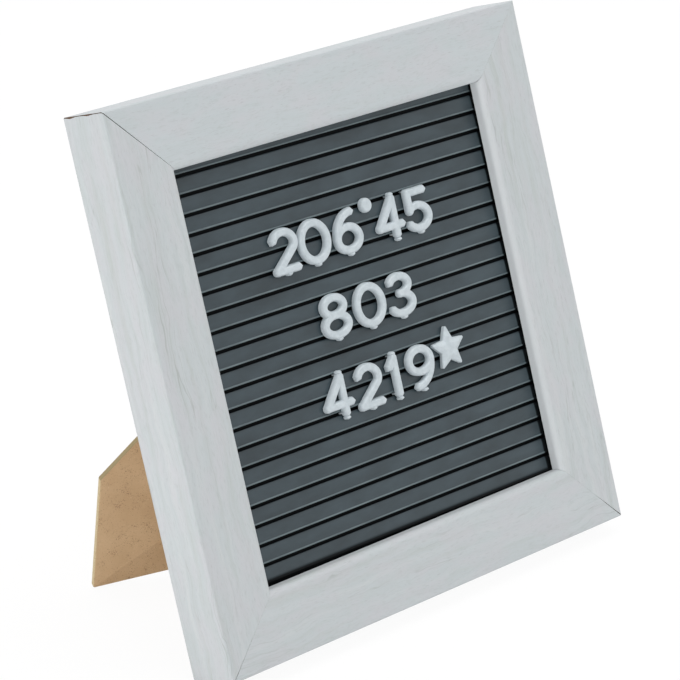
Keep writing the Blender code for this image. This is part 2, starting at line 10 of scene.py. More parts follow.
import bmesh
import bpy
import numpy as np
from mathutils import Matrix, Vector


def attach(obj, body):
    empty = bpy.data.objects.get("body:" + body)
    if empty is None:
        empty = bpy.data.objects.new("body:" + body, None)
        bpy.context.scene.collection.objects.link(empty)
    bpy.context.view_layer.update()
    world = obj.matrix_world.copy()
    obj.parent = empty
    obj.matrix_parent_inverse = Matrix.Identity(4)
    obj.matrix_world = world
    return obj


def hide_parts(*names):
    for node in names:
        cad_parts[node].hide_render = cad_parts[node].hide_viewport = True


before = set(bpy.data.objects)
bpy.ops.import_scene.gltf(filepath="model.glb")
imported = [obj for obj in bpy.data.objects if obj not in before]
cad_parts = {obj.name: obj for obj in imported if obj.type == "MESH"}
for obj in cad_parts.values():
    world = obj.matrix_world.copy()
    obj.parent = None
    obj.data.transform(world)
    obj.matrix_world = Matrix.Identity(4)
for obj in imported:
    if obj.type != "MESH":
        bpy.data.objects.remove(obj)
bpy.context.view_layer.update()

# Place and sizes of the board, as the part's source sets them
LEAN = math.radians(18)
BOARD_PLACE = (0.0, -0.062603, 0.00788)
SIDE = 0.240
HALF = SIDE / 2
DEPTH = 0.026
FACE = 0.0308
OUTER_ROUND = 0.0008
LIP_ROUND = 0.0031
LIP_DEPTH = 0.0065
PANEL_REBATE = 0.005
BACK_REBATE = 0.005
REAR_CHAMFER = 0.0005
BACK_STEP = 0.0224
FOIL_TURN = 0.0042
FOIL_EDGE = 0.0001
PRINT_SHIFT = 3.7
MITRE_STEPS = (0, 0.0001, 0.0002, 0.00032, 0.00046, 0.00062, 0.0008, 0.001, 0.0013, 0.0017, 0.0023,
               0.0032, 0.0045, 0.0065, 0.0095, 0.014, 0.02)

# Grooved panel
PANEL_FRONT = 0.0076
PANEL_THICKNESS = 0.0032
PANEL_HALF = HALF - FACE + PANEL_REBATE - 0.001
PANEL_SKEW = math.radians(0.42)
GROOVE_PITCH = 0.00832
FIRST_GROOVE = 0.00385
GROOVE_COUNT = 22
GROOVE_WIDTH = 0.0015
GROOVE_NECK = 0.0009
GROOVE_DEPTH = 0.0021
GROOVE_UNDERCUT = 0.0005
BEAD_HEIGHT = 0.0009
BEAD_RISE = 0.0003
SLAT_EDGE = 0.0005
SLAT_FALL = 0.0003
SLAT_CURVE = 0.0042
LIP_SHADE = 0.0007
# Painted shade on the first points of a slat's edge below each groove, from the groove down
GROOVE_EDGE_PAINTED_SHADE = (0.8, 0.55, 0.35, 0.2, 0.12)

# Push-in characters
STROKE_WIDTH = 0.0036
TAB_BELOW = 0.0023
TAB_ABOVE = 0.0008
TAB_WIDTH = 0.0022
TAB_THICKNESS = 0.0007
TAB_REACH = 0.0016
CHARACTER_HEIGHT = TAB_BELOW + 2 * GROOVE_PITCH + TAB_ABOVE
CHARACTER_BACK = 0.00729
CHARACTER_FRONT = 0.0046
CROWN_RISE = 0.0011
CROWN_POWER = 1.6
SHOULDER = 0.0008
FILLET = 0.0005
GABLE_SLOPE = 1.25
PIP_RADIUS = 0.0009
PIP_SQUEEZE = 0.62
CELL = 0.00022
STAR_RADIUS = 0.0106
STAR_WAIST = 0.47
STAR_POINT_ROUND = 0.0007
STAR_SLOPE = 0.0022
DOT_RADIUS = 0.0032
STAR_CENTRE = (0.0425, 0.1003)

# Easel strut and its hinge
OPEN_ANGLE = math.radians(35.5)
STRUT_TURN = math.radians(45.8)
STRUT_TIP = 0.157501
STRUT_HALF_WIDTH = 0.0359
STRUT_POINT = math.radians(40.6)
STRUT_THICKNESS = 0.003
STRUT_TOP = 0.0034
STRUT_TOP_CUT = 0.012
STRUT_TIP_ROUND = 0.0008
STRUT_EDGE_ROUND = 0.0004
# How far past its shoulder along a taper the strut's painted shade edge ends
PAINTED_SHADE_EDGE_END = 0.0005
PIN_DEPTH = 0.0282
LEAF_THICKNESS = 0.001
LEAF_CORNER = 0.004
LEAF_EDGE_ROUND = 0.00012
LEAF_HALF_WIDTH = 0.021
LEAF_LENGTH = 0.026
BASE_LEAF_HALF_WIDTH = 0.016
BASE_LEAF_LENGTH = 0.022
HEEL_INNER = 0.0177
KNUCKLE_RADIUS = 0.0022
KNUCKLE_PROUD = 0.0001
KNUCKLE_CLEAR = 0.0028
MIDDLE_KNUCKLE_END = 0.007
OUTER_KNUCKLE_END = 0.0073
PIN_RADIUS = 0.0011
PIN_SHOULDER = 0.0163
PIN_HEAD_RADIUS = 0.0018
PIN_HEAD_LENGTH = 0.0008
LEAF_FRONT = KNUCKLE_PROUD - KNUCKLE_RADIUS
STRUT_FRONT = LEAF_FRONT + LEAF_THICKNESS + 0.0003

# Rivets of both leaves: radius and rise of a head, and where they stand across and up from the pin
RIVET_RADIUS = 0.0023
RIVET_RISE = 0.0009
BASE_RIVETS = ((-0.0095, 0.0075), (-0.0095, 0.0165), (0.0095, 0.0075), (0.0095, 0.0165))
STRUT_RIVETS = ((-0.013, -0.0095), (-0.013, -0.0195), (0.013, -0.0095), (0.013, -0.0195))

# Centre of each turn button across and up the board, the depth its screw's head stands on, the
# head's (radius, height) points, and half the width of its cross
BUTTONS = {"top": (0.054, 0.2245), "bottom": (0.054, 0.0155), "left": (-0.1045, 0.174),
           "right": (0.1045, 0.147)}
SCREW_DEPTH = 0.0279
SCREW_HEAD = ((0.0025, 0.0), (0.0025, 0.0003), (0.0024, 0.0007), (0.0021, 0.00105), (0.00175, 0.0012))
CROSS_HALF = 0.0003

# V-nails: their legs, and how far from the board's corner their two points are
V_NAIL_LEG = 0.0042
V_NAIL_THICKNESS = 0.0004
V_NAIL_POINTS = (0.0085, 0.0150)
V_NAIL_DEPTHS = (DEPTH - 0.0003, DEPTH + 0.0001)

# Rows of characters: the groove that takes the lower tabs, then each node, its shape, its centre
# across the board and its width, in millimetres
ROWS = (
    (6, (("row1_1_numeral_2", "2", -37.7, 15.6), ("row1_2_numeral_0", "0", -20.6, 18.4),
         ("row1_3_numeral_6", "6", -1.1, 16.4), ("row1_4_dot", "dot", 12.0, 6.4),
         ("row1_5_numeral_4", "4", 24.4, 17.0), ("row1_6_numeral_5", "5", 41.4, 15.6))),
    (10, (("row2_1_numeral_8", "8", -17.8, 17.0), ("row2_2_numeral_0", "0", 2.6, 18.4),
          ("row2_3_numeral_3", "3", 21.2, 16.4))),
    (14, (("row3_1_numeral_4", "4", -25.8, 17.6), ("row3_2_numeral_2", "2", -7.3, 15.6),
          ("row3_3_numeral_1", "1", 7.6, 7.6), ("row3_4_numeral_9", "9", 24.1, 16.4))),
)

BOARD = Matrix.Translation(BOARD_PLACE) @ Matrix.Rotation(-LEAN, 4, "X")
MIDDLE = Matrix.Translation((0, 0, HALF))
PANEL = BOARD @ MIDDLE @ Matrix.Rotation(PANEL_SKEW, 4, "Y") @ MIDDLE.inverted()
ACROSS = Vector((math.cos(STRUT_TURN), 0, -math.sin(STRUT_TURN)))
AWAY = Vector((0, 1, 0))
HINGE_TURN = Matrix((ACROSS, AWAY, ACROSS.cross(AWAY))).transposed().to_4x4()
HINGE = BOARD @ Matrix.Translation((0, PIN_DEPTH, HALF)) @ HINGE_TURN
STRUT = HINGE @ Matrix.Rotation(OPEN_ANGLE, 4, "X")


# Shader nodes

def linear(code):
    """Scene-linear colour of an sRGB hex code."""
    channels = []
    for start in (0, 2, 4):
        value = int(code[start:start + 2], 16) / 255
        channels.append(value / 12.92 if value <= 0.04045 else ((value + 0.055) / 1.055) ** 2.4)
    return (*channels, 1)


def grey(value):
    """A grey of this linear value."""
    return (value, value, value, 1)


def feed(tree, node, inputs):
    """Sets inputs of a node: one given as an output socket is linked, and any other is a value."""
    for key, value in inputs.items():
        if isinstance(value, bpy.types.NodeSocket):
            tree.links.new(value, node.inputs[key])
        else:
            node.inputs[key].default_value = value


def add(tree, kind, inputs=None, output=0, stops=(), **settings):
    """Adds a shader node with its settings and inputs, and gives one of its outputs. A colour ramp
    also takes its (position, colour) stops."""
    made = tree.nodes.new("ShaderNode" + kind)
    for name, value in settings.items():
        setattr(made, name, value)
    feed(tree, made, inputs or {})
    if stops:
        elements = made.color_ramp.elements
        elements[0].position, elements[0].color = stops[0]
        elements[1].position, elements[1].color = stops[-1]
        for position, colour in stops[1:-1]:
            elements.new(position).color = colour
    return made.outputs[output]


def started(name):
    """A new material with its node tree and its Principled shader."""
    made = bpy.data.materials.new(name)
    made.use_nodes = True
    return made, made.node_tree, made.node_tree.nodes["Principled BSDF"]


def fibre_colour(tree, place):
    """Colour and height of bare fibreboard: a tan felt of fibres with darker and paler specks."""
    # Clouds 14 mm across, and a felt of fibres 1 mm across
    cloud = add(tree, "TexNoise", {"Vector": place, "Scale": 70, "Detail": 3, "Roughness": 0.55})
    felt = add(tree, "TexNoise", {"Vector": place, "Scale": 900, "Detail": 5, "Roughness": 0.7})
    base = add(tree, "ValToRGB", {"Fac": cloud},
               stops=[(0.3, linear("C3A682")), (0.7, linear("CFB38F"))])
    felt_share = add(tree, "Math", {0: felt, 1: 0.42}, operation="MULTIPLY")
    felted = add(tree, "Mix", {0: felt_share, 6: base, 7: linear("AE906C")}, 2, data_type="RGBA")
    # Dark specks 0.6 mm apart, closer together in patches 5 mm across
    specks = add(tree, "TexNoise", {"Vector": place, "Scale": 1700, "Detail": 4, "Roughness": 0.7})
    crowd = add(tree, "TexNoise", {"Vector": place, "Scale": 190, "Detail": 2, "Roughness": 0.55})
    crowded = add(tree, "Math", {0: crowd, 1: 0.3, 2: specks}, operation="MULTIPLY_ADD")
    dark = add(tree, "ValToRGB", {"Fac": crowded}, stops=[(0.71, grey(0)), (0.84, grey(0.75))])
    specked = add(tree, "Mix", {0: dark, 6: felted, 7: linear("7A5E42")}, 2, data_type="RGBA")
    # Pale specks 0.5 mm across in cells of 2 mm, here and there
    pressed = add(tree, "Mapping", {"Vector": place, "Scale": (1, 1.3, 1)})
    cells = add(tree, "TexVoronoi", {"Vector": pressed, "Scale": 480}, "Distance")
    pale = add(tree, "ValToRGB", {"Fac": cells}, stops=[(0.08, grey(0.55)), (0.22, grey(0))])
    patches = add(tree, "TexNoise", {"Vector": place, "Scale": 260, "Detail": 1, "Roughness": 0.55})
    here = add(tree, "ValToRGB", {"Fac": patches}, stops=[(0.5, grey(0)), (0.6, grey(1))])
    pale_share = add(tree, "Math", {0: pale, 1: here}, operation="MULTIPLY")
    colour = add(tree, "Mix", {0: pale_share, 6: specked, 7: linear("D2BC98")}, 2, data_type="RGBA")
    return colour, felt


def foil_material():
    """Printed whitewashed wood-grain foil over fibreboard: an even pale blue-grey with very faint
    grain and a satin sheen, painted paler over the lip's radius as painted light, and brown fibre
    where the foil ends and where a corner is chipped, darker in a chip as dirt and painted shade."""
    made, tree, shader = started("whitewashed_foil_over_fibreboard")
    place = add(tree, "TexCoord", output="Object")
    grain = add(tree, "Attribute", output="Vector", attribute_name="grain")
    figure = add(tree, "Attribute", output="Fac", attribute_name="figure")
    # Soft streaks 3.5 mm across and some 110 mm long, wavering by a few millimetres
    waves = add(tree, "Mapping", {"Vector": grain, "Scale": (26, 50, 1)})
    waver = add(tree, "TexNoise", {"Vector": waves, "Scale": 1, "Detail": 3, "Roughness": 0.55})
    lift = add(tree, "Math", {0: waver, 1: 0.011}, operation="MULTIPLY")
    upwards = add(tree, "CombineXYZ", {"Y": lift})
    bent = add(tree, "VectorMath", {0: grain, 1: upwards}, operation="ADD")
    drawn_out = add(tree, "Mapping", {"Vector": bent, "Scale": (9, 290, 1)})
    bands = add(tree, "TexNoise", {"Vector": drawn_out, "Scale": 1, "Detail": 5, "Roughness": 0.62})
    streaks = add(tree, "ValToRGB", {"Fac": bands},
                  stops=[(0.3, linear("B3B9B7")), (0.5, linear("BBC1C3")), (0.7, linear("C2C6C7"))])
    washed = add(tree, "Mix", {0: figure, 6: linear("BBC2C5"), 7: streaks}, 2, data_type="RGBA")
    # Clouds 22 mm long and 9 mm across that lean to lilac
    broad = add(tree, "Mapping", {"Vector": grain, "Scale": (45, 110, 1)})
    haze = add(tree, "TexNoise", {"Vector": broad, "Scale": 1, "Detail": 3, "Roughness": 0.55})
    cloud = add(tree, "ValToRGB", {"Fac": haze}, stops=[(0.42, grey(0)), (0.62, grey(0.6))])
    clouded = add(tree, "Mix", {0: cloud, 6: washed, 7: linear("C0C0C4")}, 2, data_type="RGBA")
    # Short fibres, 0.8 mm across and 4 mm long
    short = add(tree, "Mapping", {"Vector": bent, "Scale": (240, 1300, 1)})
    fibres = add(tree, "TexNoise", {"Vector": short, "Scale": 1, "Detail": 4, "Roughness": 0.7})
    fine = add(tree, "ValToRGB", {"Fac": fibres}, stops=[(0.32, grey(0.4)), (0.48, grey(0))])
    streaked = add(tree, "Mix", {0: fine, 6: clouded, 7: linear("A8AEAD")}, 2, data_type="RGBA")
    # Thin darker hairlines, where a slow noise crosses its middle value, in a few places only
    slow = add(tree, "Mapping", {"Vector": bent, "Scale": (9, 210, 1)})
    lines = add(tree, "TexNoise", {"Vector": slow, "Scale": 1, "Detail": 2, "Roughness": 0.5})
    from_middle = add(tree, "Math", {0: lines, 1: 0.5}, operation="SUBTRACT")
    off_line = add(tree, "Math", {0: from_middle}, operation="ABSOLUTE")
    hair = add(tree, "ValToRGB", {"Fac": off_line}, stops=[(0.002, grey(1)), (0.010, grey(0))])
    wide = add(tree, "Mapping", {"Vector": grain, "Scale": (14, 90, 1)})
    patches = add(tree, "TexNoise", {"Vector": wide, "Scale": 1, "Detail": 2, "Roughness": 0.55})
    here = add(tree, "ValToRGB", {"Fac": patches}, stops=[(0.49, grey(0)), (0.6, grey(0.5))])
    hair_here = add(tree, "Math", {0: hair, 1: here}, operation="MULTIPLY")
    hair_share = add(tree, "Math", {0: hair_here, 1: figure}, operation="MULTIPLY")
    haired = add(tree, "Mix", {0: hair_share, 6: streaked, 7: linear("949A95")}, 2, data_type="RGBA")
    # Short faint dashes with a lilac cast, 0.5 mm across and 4 mm long
    thin = add(tree, "Mapping", {"Vector": grain, "Scale": (260, 2100, 1)})
    pores = add(tree, "TexNoise", {"Vector": thin, "Scale": 1, "Detail": 1, "Roughness": 0.55})
    dash = add(tree, "ValToRGB", {"Fac": pores}, stops=[(0.26, grey(0.5)), (0.34, grey(0))])
    dashed = add(tree, "Mix", {0: dash, 6: haired, 7: linear("A8A9AC")}, 2, data_type="RGBA")
    # Painted light: over the lip's radius the foil is painted paler, as if lit there
    painted_lip_light = add(tree, "Attribute", output="Fac", attribute_name="painted_lip_light")
    print_and_lip_light = add(tree, "Mix", {0: painted_lip_light, 6: dashed, 7: linear("E2E6E8")}, 2, data_type="RGBA")
    # A chip's edge is ragged by 0.2 mm, and its bottom is torn fibre painted dark, as dirt and as painted
    # shade
    fibre, felt = fibre_colour(tree, place)
    crumbs = add(tree, "TexNoise", {"Vector": place, "Scale": 1500, "Detail": 4, "Roughness": 0.55})
    ragged_by = add(tree, "Math", {0: crumbs, 1: 0.5}, operation="SUBTRACT")
    worn = add(tree, "Attribute", output="Fac", attribute_name="worn")
    ragged = add(tree, "Math", {0: ragged_by, 1: 0.0004, 2: worn}, operation="MULTIPLY_ADD")
    chipped = add(tree, "Math", {0: ragged, 1: 9000.0}, operation="MULTIPLY", use_clamp=True)
    torn_fibre_and_shade = add(tree, "Mix", {0: felt, 6: linear("3A2A1C"), 7: linear("6E5137")}, 2, data_type="RGBA")
    broken = add(tree, "Mix", {0: chipped, 6: print_and_lip_light, 7: torn_fibre_and_shade}, 2, data_type="RGBA")
    bare = add(tree, "Attribute", output="Fac", attribute_name="bare")
    colour = add(tree, "Mix", {0: bare, 6: broken, 7: fibre}, 2, data_type="RGBA")
    bare_all = add(tree, "Math", {0: chipped, 1: bare}, operation="MAXIMUM")
    satin = add(tree, "Math", {0: fibres, 1: 0.12, 2: 0.46}, operation="MULTIPLY_ADD")
    rough = add(tree, "Math", {0: bare_all, 1: 0.3, 2: satin}, operation="MULTIPLY_ADD", use_clamp=True)
    height = add(tree, "Mix", {0: bare_all, 6: fibres, 7: felt}, 2, data_type="RGBA")
    relief = add(tree, "Bump", {"Height": height, "Distance": 0.00003, "Strength": 1.0})
    feed(tree, shader, {"Base Color": colour, "Roughness": rough, "Specular IOR Level": 0.4,
                        "Normal": relief})
    return made


def fibreboard_material():
    """Bare fibreboard 3 mm thick: a pressed, slightly polished tan face, paler sawn edges, and a
    darker olive brown painted on the strut's side edges as shade."""
    made, tree, shader = started("pressed_fibreboard")
    place = add(tree, "TexCoord", output="Object")
    fibre, felt = fibre_colour(tree, place)
    # Layers 0.8 mm thick show in a sawn edge
    layers = add(tree, "TexNoise", {"Vector": place, "Scale": 1300, "Detail": 4, "Roughness": 0.6})
    cream = add(tree, "ValToRGB", {"Fac": layers},
                stops=[(0.3, linear("B5A27E")), (0.7, linear("CBBB98"))])
    # Painted shade: the strut's side edges are coloured a darker olive brown
    painted_shade_edge = add(tree, "Attribute", output="Fac", attribute_name="painted_shade_edge")
    edged = add(tree, "Mix", {0: painted_shade_edge, 6: cream, 7: linear("998A68")}, 2, data_type="RGBA")
    sawn = add(tree, "Attribute", output="Fac", attribute_name="sawn")
    colour = add(tree, "Mix", {0: sawn, 6: fibre, 7: edged}, 2, data_type="RGBA")
    face_rough = add(tree, "Math", {0: felt, 1: 0.2, 2: 0.5}, operation="MULTIPLY_ADD")
    rough = add(tree, "Math", {0: sawn, 1: 0.25, 2: face_rough}, operation="MULTIPLY_ADD",
                use_clamp=True)
    relief = add(tree, "Bump", {"Height": felt, "Distance": 0.00005, "Strength": 1.0})
    feed(tree, shader, {"Base Color": colour, "Roughness": rough, "Specular IOR Level": 0.35,
                        "Normal": relief})
    return made


def slate_material():
    """Extruded slate-grey PVC: faint draw lines along the slats and a soft satin sheen, paler along the
    beads as a painted highlight with some rubbing, and near-black, rougher and less shiny as painted
    shade in the grooves, just below them and under the frame's lips."""
    made, tree, shader = started("extruded_slate_pvc")
    place = add(tree, "TexCoord", output="Object")
    grain = add(tree, "Attribute", output="Vector", attribute_name="grain")
    # Draw lines 0.2 mm apart that run the whole width, and clouds 22 mm long and 9 mm high
    drawn = add(tree, "Mapping", {"Vector": grain, "Scale": (9, 5200, 1)})
    lines = add(tree, "TexNoise", {"Vector": drawn, "Scale": 1, "Detail": 3, "Roughness": 0.55})
    low = add(tree, "Mapping", {"Vector": place, "Scale": (45, 45, 110)})
    cloud = add(tree, "TexNoise", {"Vector": low, "Scale": 1, "Detail": 4, "Roughness": 0.55})
    base = add(tree, "ValToRGB", {"Fac": cloud},
               stops=[(0.3, linear("28343A")), (0.7, linear("39474E"))])
    line_share = add(tree, "Math", {0: lines, 1: 0.18}, operation="MULTIPLY")
    lined = add(tree, "Mix", {0: line_share, 6: base, 7: linear("283235")}, 2, data_type="RGBA")
    # Paler along the bead crests: a painted highlight with some rubbing, in patches 14 mm long and 3 mm
    # high
    bead_rub_and_highlight = add(tree, "Attribute", output="Fac", attribute_name="bead_rub_and_highlight")
    along = add(tree, "Mapping", {"Vector": grain, "Scale": (70, 300, 1)})
    rub_and_highlight_noise = add(tree, "TexNoise", {"Vector": along, "Scale": 1, "Detail": 3, "Roughness": 0.55})
    rub_and_highlight_patches = add(tree, "ValToRGB", {"Fac": rub_and_highlight_noise}, stops=[(0.35, grey(0.45)), (0.65, grey(1))])
    rub_and_highlight_share = add(tree, "Math", {0: bead_rub_and_highlight, 1: rub_and_highlight_patches}, operation="MULTIPLY")
    paler = add(tree, "Mix", {0: rub_and_highlight_share, 6: lined, 7: linear("68777B")}, 2, data_type="RGBA")
    # Painted shade: near-black, rougher and with less sheen in the grooves, on the slat edges just below
    # them and under the frame's lips
    painted_shade = add(tree, "Attribute", output="Fac", attribute_name="painted_shade")
    colour = add(tree, "Mix", {0: painted_shade, 6: paler, 7: linear("0C0F11")}, 2, data_type="RGBA")
    shine = add(tree, "Math", {0: painted_shade, 1: -0.4, 2: 0.5}, operation="MULTIPLY_ADD")
    satin = add(tree, "Math", {0: lines, 1: 0.12, 2: 0.27}, operation="MULTIPLY_ADD")
    rough = add(tree, "Math", {0: painted_shade, 1: 0.3, 2: satin}, operation="MULTIPLY_ADD", use_clamp=True)
    relief = add(tree, "Bump", {"Height": lines, "Distance": 0.000012, "Strength": 1.0})
    feed(tree, shader, {"Base Color": colour, "Roughness": rough, "Specular IOR Level": shine,
                        "Normal": relief})
    return made


def white_plastic_material():
    """Injection-moulded white polystyrene: a soft gloss, with faint flow marks 2.4 mm apart."""
    made, tree, shader = started("moulded_white_polystyrene")
    place = add(tree, "TexCoord", output="Object")
    flow = add(tree, "TexNoise", {"Vector": place, "Scale": 420, "Detail": 2, "Roughness": 0.55,
                                  "Distortion": 0.6})
    colour = add(tree, "ValToRGB", {"Fac": flow},
                 stops=[(0.3, linear("B8C2C7")), (0.7, linear("C5CED3"))])
    rough = add(tree, "ValToRGB", {"Fac": flow}, stops=[(0.3, grey(0.3)), (0.7, grey(0.4))])
    relief = add(tree, "Bump", {"Height": flow, "Distance": 0.00003, "Strength": 1.0})
    feed(tree, shader, {"Base Color": colour, "Roughness": rough, "Normal": relief,
                        "Subsurface Weight": 0.08, "Subsurface Radius": (0.0008, 0.0008, 0.0009),
                        "Subsurface Scale": 1.0})
    return made


def zinc_material():
    """Bright zinc plate on pressed steel: a blue-grey metal with rolling lines 0.2 mm apart and a
    polish that is cloudy every 4 mm or so."""
    made, tree, shader = started("bright_zinc_plate")
    place = add(tree, "TexCoord", output="Object")
    cloud = add(tree, "TexNoise", {"Vector": place, "Scale": 240, "Detail": 3, "Roughness": 0.55})
    along = add(tree, "Mapping", {"Vector": place, "Scale": (300, 300, 5000)})
    rolled = add(tree, "TexNoise", {"Vector": along, "Scale": 1, "Detail": 3, "Roughness": 0.55})
    colour = add(tree, "ValToRGB", {"Fac": cloud},
                 stops=[(0.3, linear("B4B8BA")), (0.7, linear("CFD2D3"))])
    rough = add(tree, "Math", {0: rolled, 1: 0.16, 2: 0.24}, operation="MULTIPLY_ADD")
    relief = add(tree, "Bump", {"Height": rolled, "Distance": 0.00001, "Strength": 1.0})
    feed(tree, shader, {"Base Color": colour, "Roughness": rough, "Metallic": 1.0, "Normal": relief})
    return made


def seen_white(tree):
    """1 for rays from the camera or from a gloss, which see the studio as white, and 0 for others."""
    direct = add(tree, "LightPath", output="Is Camera Ray")
    mirrored = add(tree, "LightPath", output="Is Glossy Ray")
    return add(tree, "Math", {0: direct, 1: mirrored}, operation="MAXIMUM")


def floor_material():
    """A plain pale floor that keeps the object's shadow and reads as white to the camera."""
    made, tree, shader = started("pale_floor")
    feed(tree, shader, {"Base Color": linear("FFFFFF"), "Roughness": 0.9, "Specular IOR Level": 0.2})
    white = add(tree, "Emission", {"Color": grey(1), "Strength": 1.0})
    share = add(tree, "Math", {0: seen_white(tree), 1: FLOOR_WHITE}, operation="MULTIPLY")
    blend = add(tree, "MixShader", {0: share, 1: shader.outputs[0], 2: white})
    feed(tree, tree.nodes["Material Output"], {"Surface": blend})
    return made


# Meshes

def leaned(points, matrix):
    """Points of a local frame, as an array, in world space."""
    turn = np.array(matrix.to_3x3())
    return np.asarray(points, float).reshape(-1, 3) @ turn.T + np.array(matrix.translation)


def piece(name, points, faces, material, body, stands_for=(), sharp=38):
    """A closed mesh of world points, faces outwards, that rides on a body."""
    mesh = bpy.data.meshes.new(name)
    mesh.from_pydata(points.tolist(), [], faces)
    work = bmesh.new()
    work.from_mesh(mesh)
    bmesh.ops.recalc_face_normals(work, faces=work.faces)
    work.to_mesh(mesh)
    work.free()
    mesh.materials.append(material)
    mesh.shade_smooth()
    mesh.set_sharp_from_angle(angle=math.radians(sharp))
    made = bpy.data.objects.new(name, mesh)
    bpy.context.scene.collection.objects.link(made)
    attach(made, body)
    if stands_for:
        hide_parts(*stands_for)
    return made


def mark(made, name, values):
    """Stores a value or a vector for each point of the piece."""
    values = np.asarray(values, np.float32)
    kind, field = ("FLOAT_VECTOR", "vector") if values.ndim == 2 else ("FLOAT", "value")
    attribute = made.data.attributes.new(name, kind, "POINT")
    attribute.data.foreach_set(field, values.ravel())


def line(start, end, count):
    """Points spread evenly from start towards end, which is left out."""
    share = np.arange(count)[:, None] / count
    return (np.array(start) + (np.array(end) - np.array(start)) * share).tolist()


def bow(centre, radii, first, last, count, with_end=False):
    """Points on an ellipse between two angles in degrees, the last of them left out or kept."""
    steps = np.arange(count + 1 if with_end else count) / count
    angles = np.radians(first + (last - first) * steps)
    return np.stack([centre[0] + radii[0] * np.cos(angles),
                     centre[1] + radii[1] * np.sin(angles)], 1).tolist()


def tube_faces(rows, columns):
    """Quads between closed rings of points, with a flat face at each end: each point is joined to
    the next in its ring and to the same two in the ring after."""
    first = np.arange(rows * columns).reshape(rows, columns)
    after = np.roll(first, -1, axis=1)
    quads = np.stack([first[:-1], after[:-1], after[1:], first[1:]], 2).reshape(-1, 4)
    return [first[0].tolist(), first[-1].tolist()] + quads.tolist()


def merged(parts):
    """Several (points, faces) in one pair."""
    points, faces, offset = [], [], 0
    for part_points, part_faces in parts:
        points.append(np.asarray(part_points, float).reshape(-1, 3))
        faces += [[i + offset for i in face] for face in part_faces]
        offset += len(points[-1])
    return np.concatenate(points), faces


# Frame mouldings

CORNERS = {("bottom_rail", -1): "lower left", ("bottom_rail", 1): "lower right",
           ("right_stile", -1): "lower right", ("right_stile", 1): "upper right",
           ("top_rail", -1): "upper right", ("top_rail", 1): "upper left",
           ("left_stile", -1): "upper left", ("left_stile", 1): "lower left"}


def moulding_section():
    """Section of the moulding as (inset, depth) points, with 1 where the fibreboard is bare: straight
    runs, with a quarter circle at the outer edge and a larger one at the lip."""
    wall = FACE - PANEL_REBATE
    back_wall = wall - BACK_REBATE
    covered = line((FOIL_TURN, DEPTH), (REAR_CHAMFER, DEPTH), 3)
    covered += line((REAR_CHAMFER, DEPTH), (0, DEPTH - REAR_CHAMFER), 2)
    covered += line((0, DEPTH - REAR_CHAMFER), (0, OUTER_ROUND), 44)
    covered += bow((OUTER_ROUND, OUTER_ROUND), (OUTER_ROUND, OUTER_ROUND), 180, 270, 12)
    covered += line((OUTER_ROUND, 0), (FACE - LIP_ROUND, 0), 24)
    covered += bow((FACE - LIP_ROUND, LIP_ROUND), (LIP_ROUND, LIP_ROUND), -90, 0, 12)
    covered += line((FACE, LIP_ROUND), (FACE, LIP_DEPTH), 4) + [(FACE, LIP_DEPTH)]
    bare = line((FACE - FOIL_EDGE, LIP_DEPTH), (wall, LIP_DEPTH), 2)
    bare += line((wall, LIP_DEPTH), (wall, BACK_STEP), 3)
    bare += line((wall, BACK_STEP), (back_wall, BACK_STEP), 2)
    bare += line((back_wall, BACK_STEP), (back_wall, DEPTH - REAR_CHAMFER), 2)
    bare += line((back_wall, DEPTH - REAR_CHAMFER), (back_wall - REAR_CHAMFER, DEPTH), 1)
    bare += line((back_wall - REAR_CHAMFER, DEPTH), (FOIL_TURN + FOIL_EDGE, DEPTH), 8)
    bare.append((FOIL_TURN + FOIL_EDGE, DEPTH))
    return np.array(covered + bare), np.array([0.0] * len(covered) + [1.0] * len(bare))


def mitre_gap(corner, inset):
    """Half the open width along the rail of the mitre at this inset: a hairline, plus a gap that
    grows towards the outer edge as a power or a straight share of the face's width. At the upper
    right it grows towards the lip."""
    share = np.clip(inset / FACE, 0, 1)
    if corner == "upper left":
        return 0.00026 - 0.0002 * share ** 1.5
    if corner == "lower right":
        return 0.00002 + 0.00028 * np.clip(1 - share / 0.5, 0, 1)
    if corner == "lower left":
        return 0.00002 + 0.00016 * np.clip(1 - share / 0.6, 0, 1)
    return 0.00002 + 0.00012 * np.clip((share - 0.9) / 0.1, 0, 1)


def wear(corner, inset, depth, cut):
    """How far a point lies inside the chipped edge of a mitre, in metres, or below zero outside:
    the chip's reach there, less the distance to the cut. Round the outer edge of the upper left
    corner the reach is two bell curves over the depth."""
    side = np.clip(1 - inset / OUTER_ROUND, 0, 1)
    reach = np.full_like(depth, 0.00002)
    if corner == "upper left":
        near_front = 0.00035 * np.exp(-((depth - 0.0096) / 0.0022) ** 2)
        near_rear = 0.00045 * np.exp(-((depth - 0.0215) / 0.0026) ** 2)
        reach = reach + side * (0.0001 + near_front + near_rear)
    else:
        reach = reach + side * 0.00012
    return reach - cut


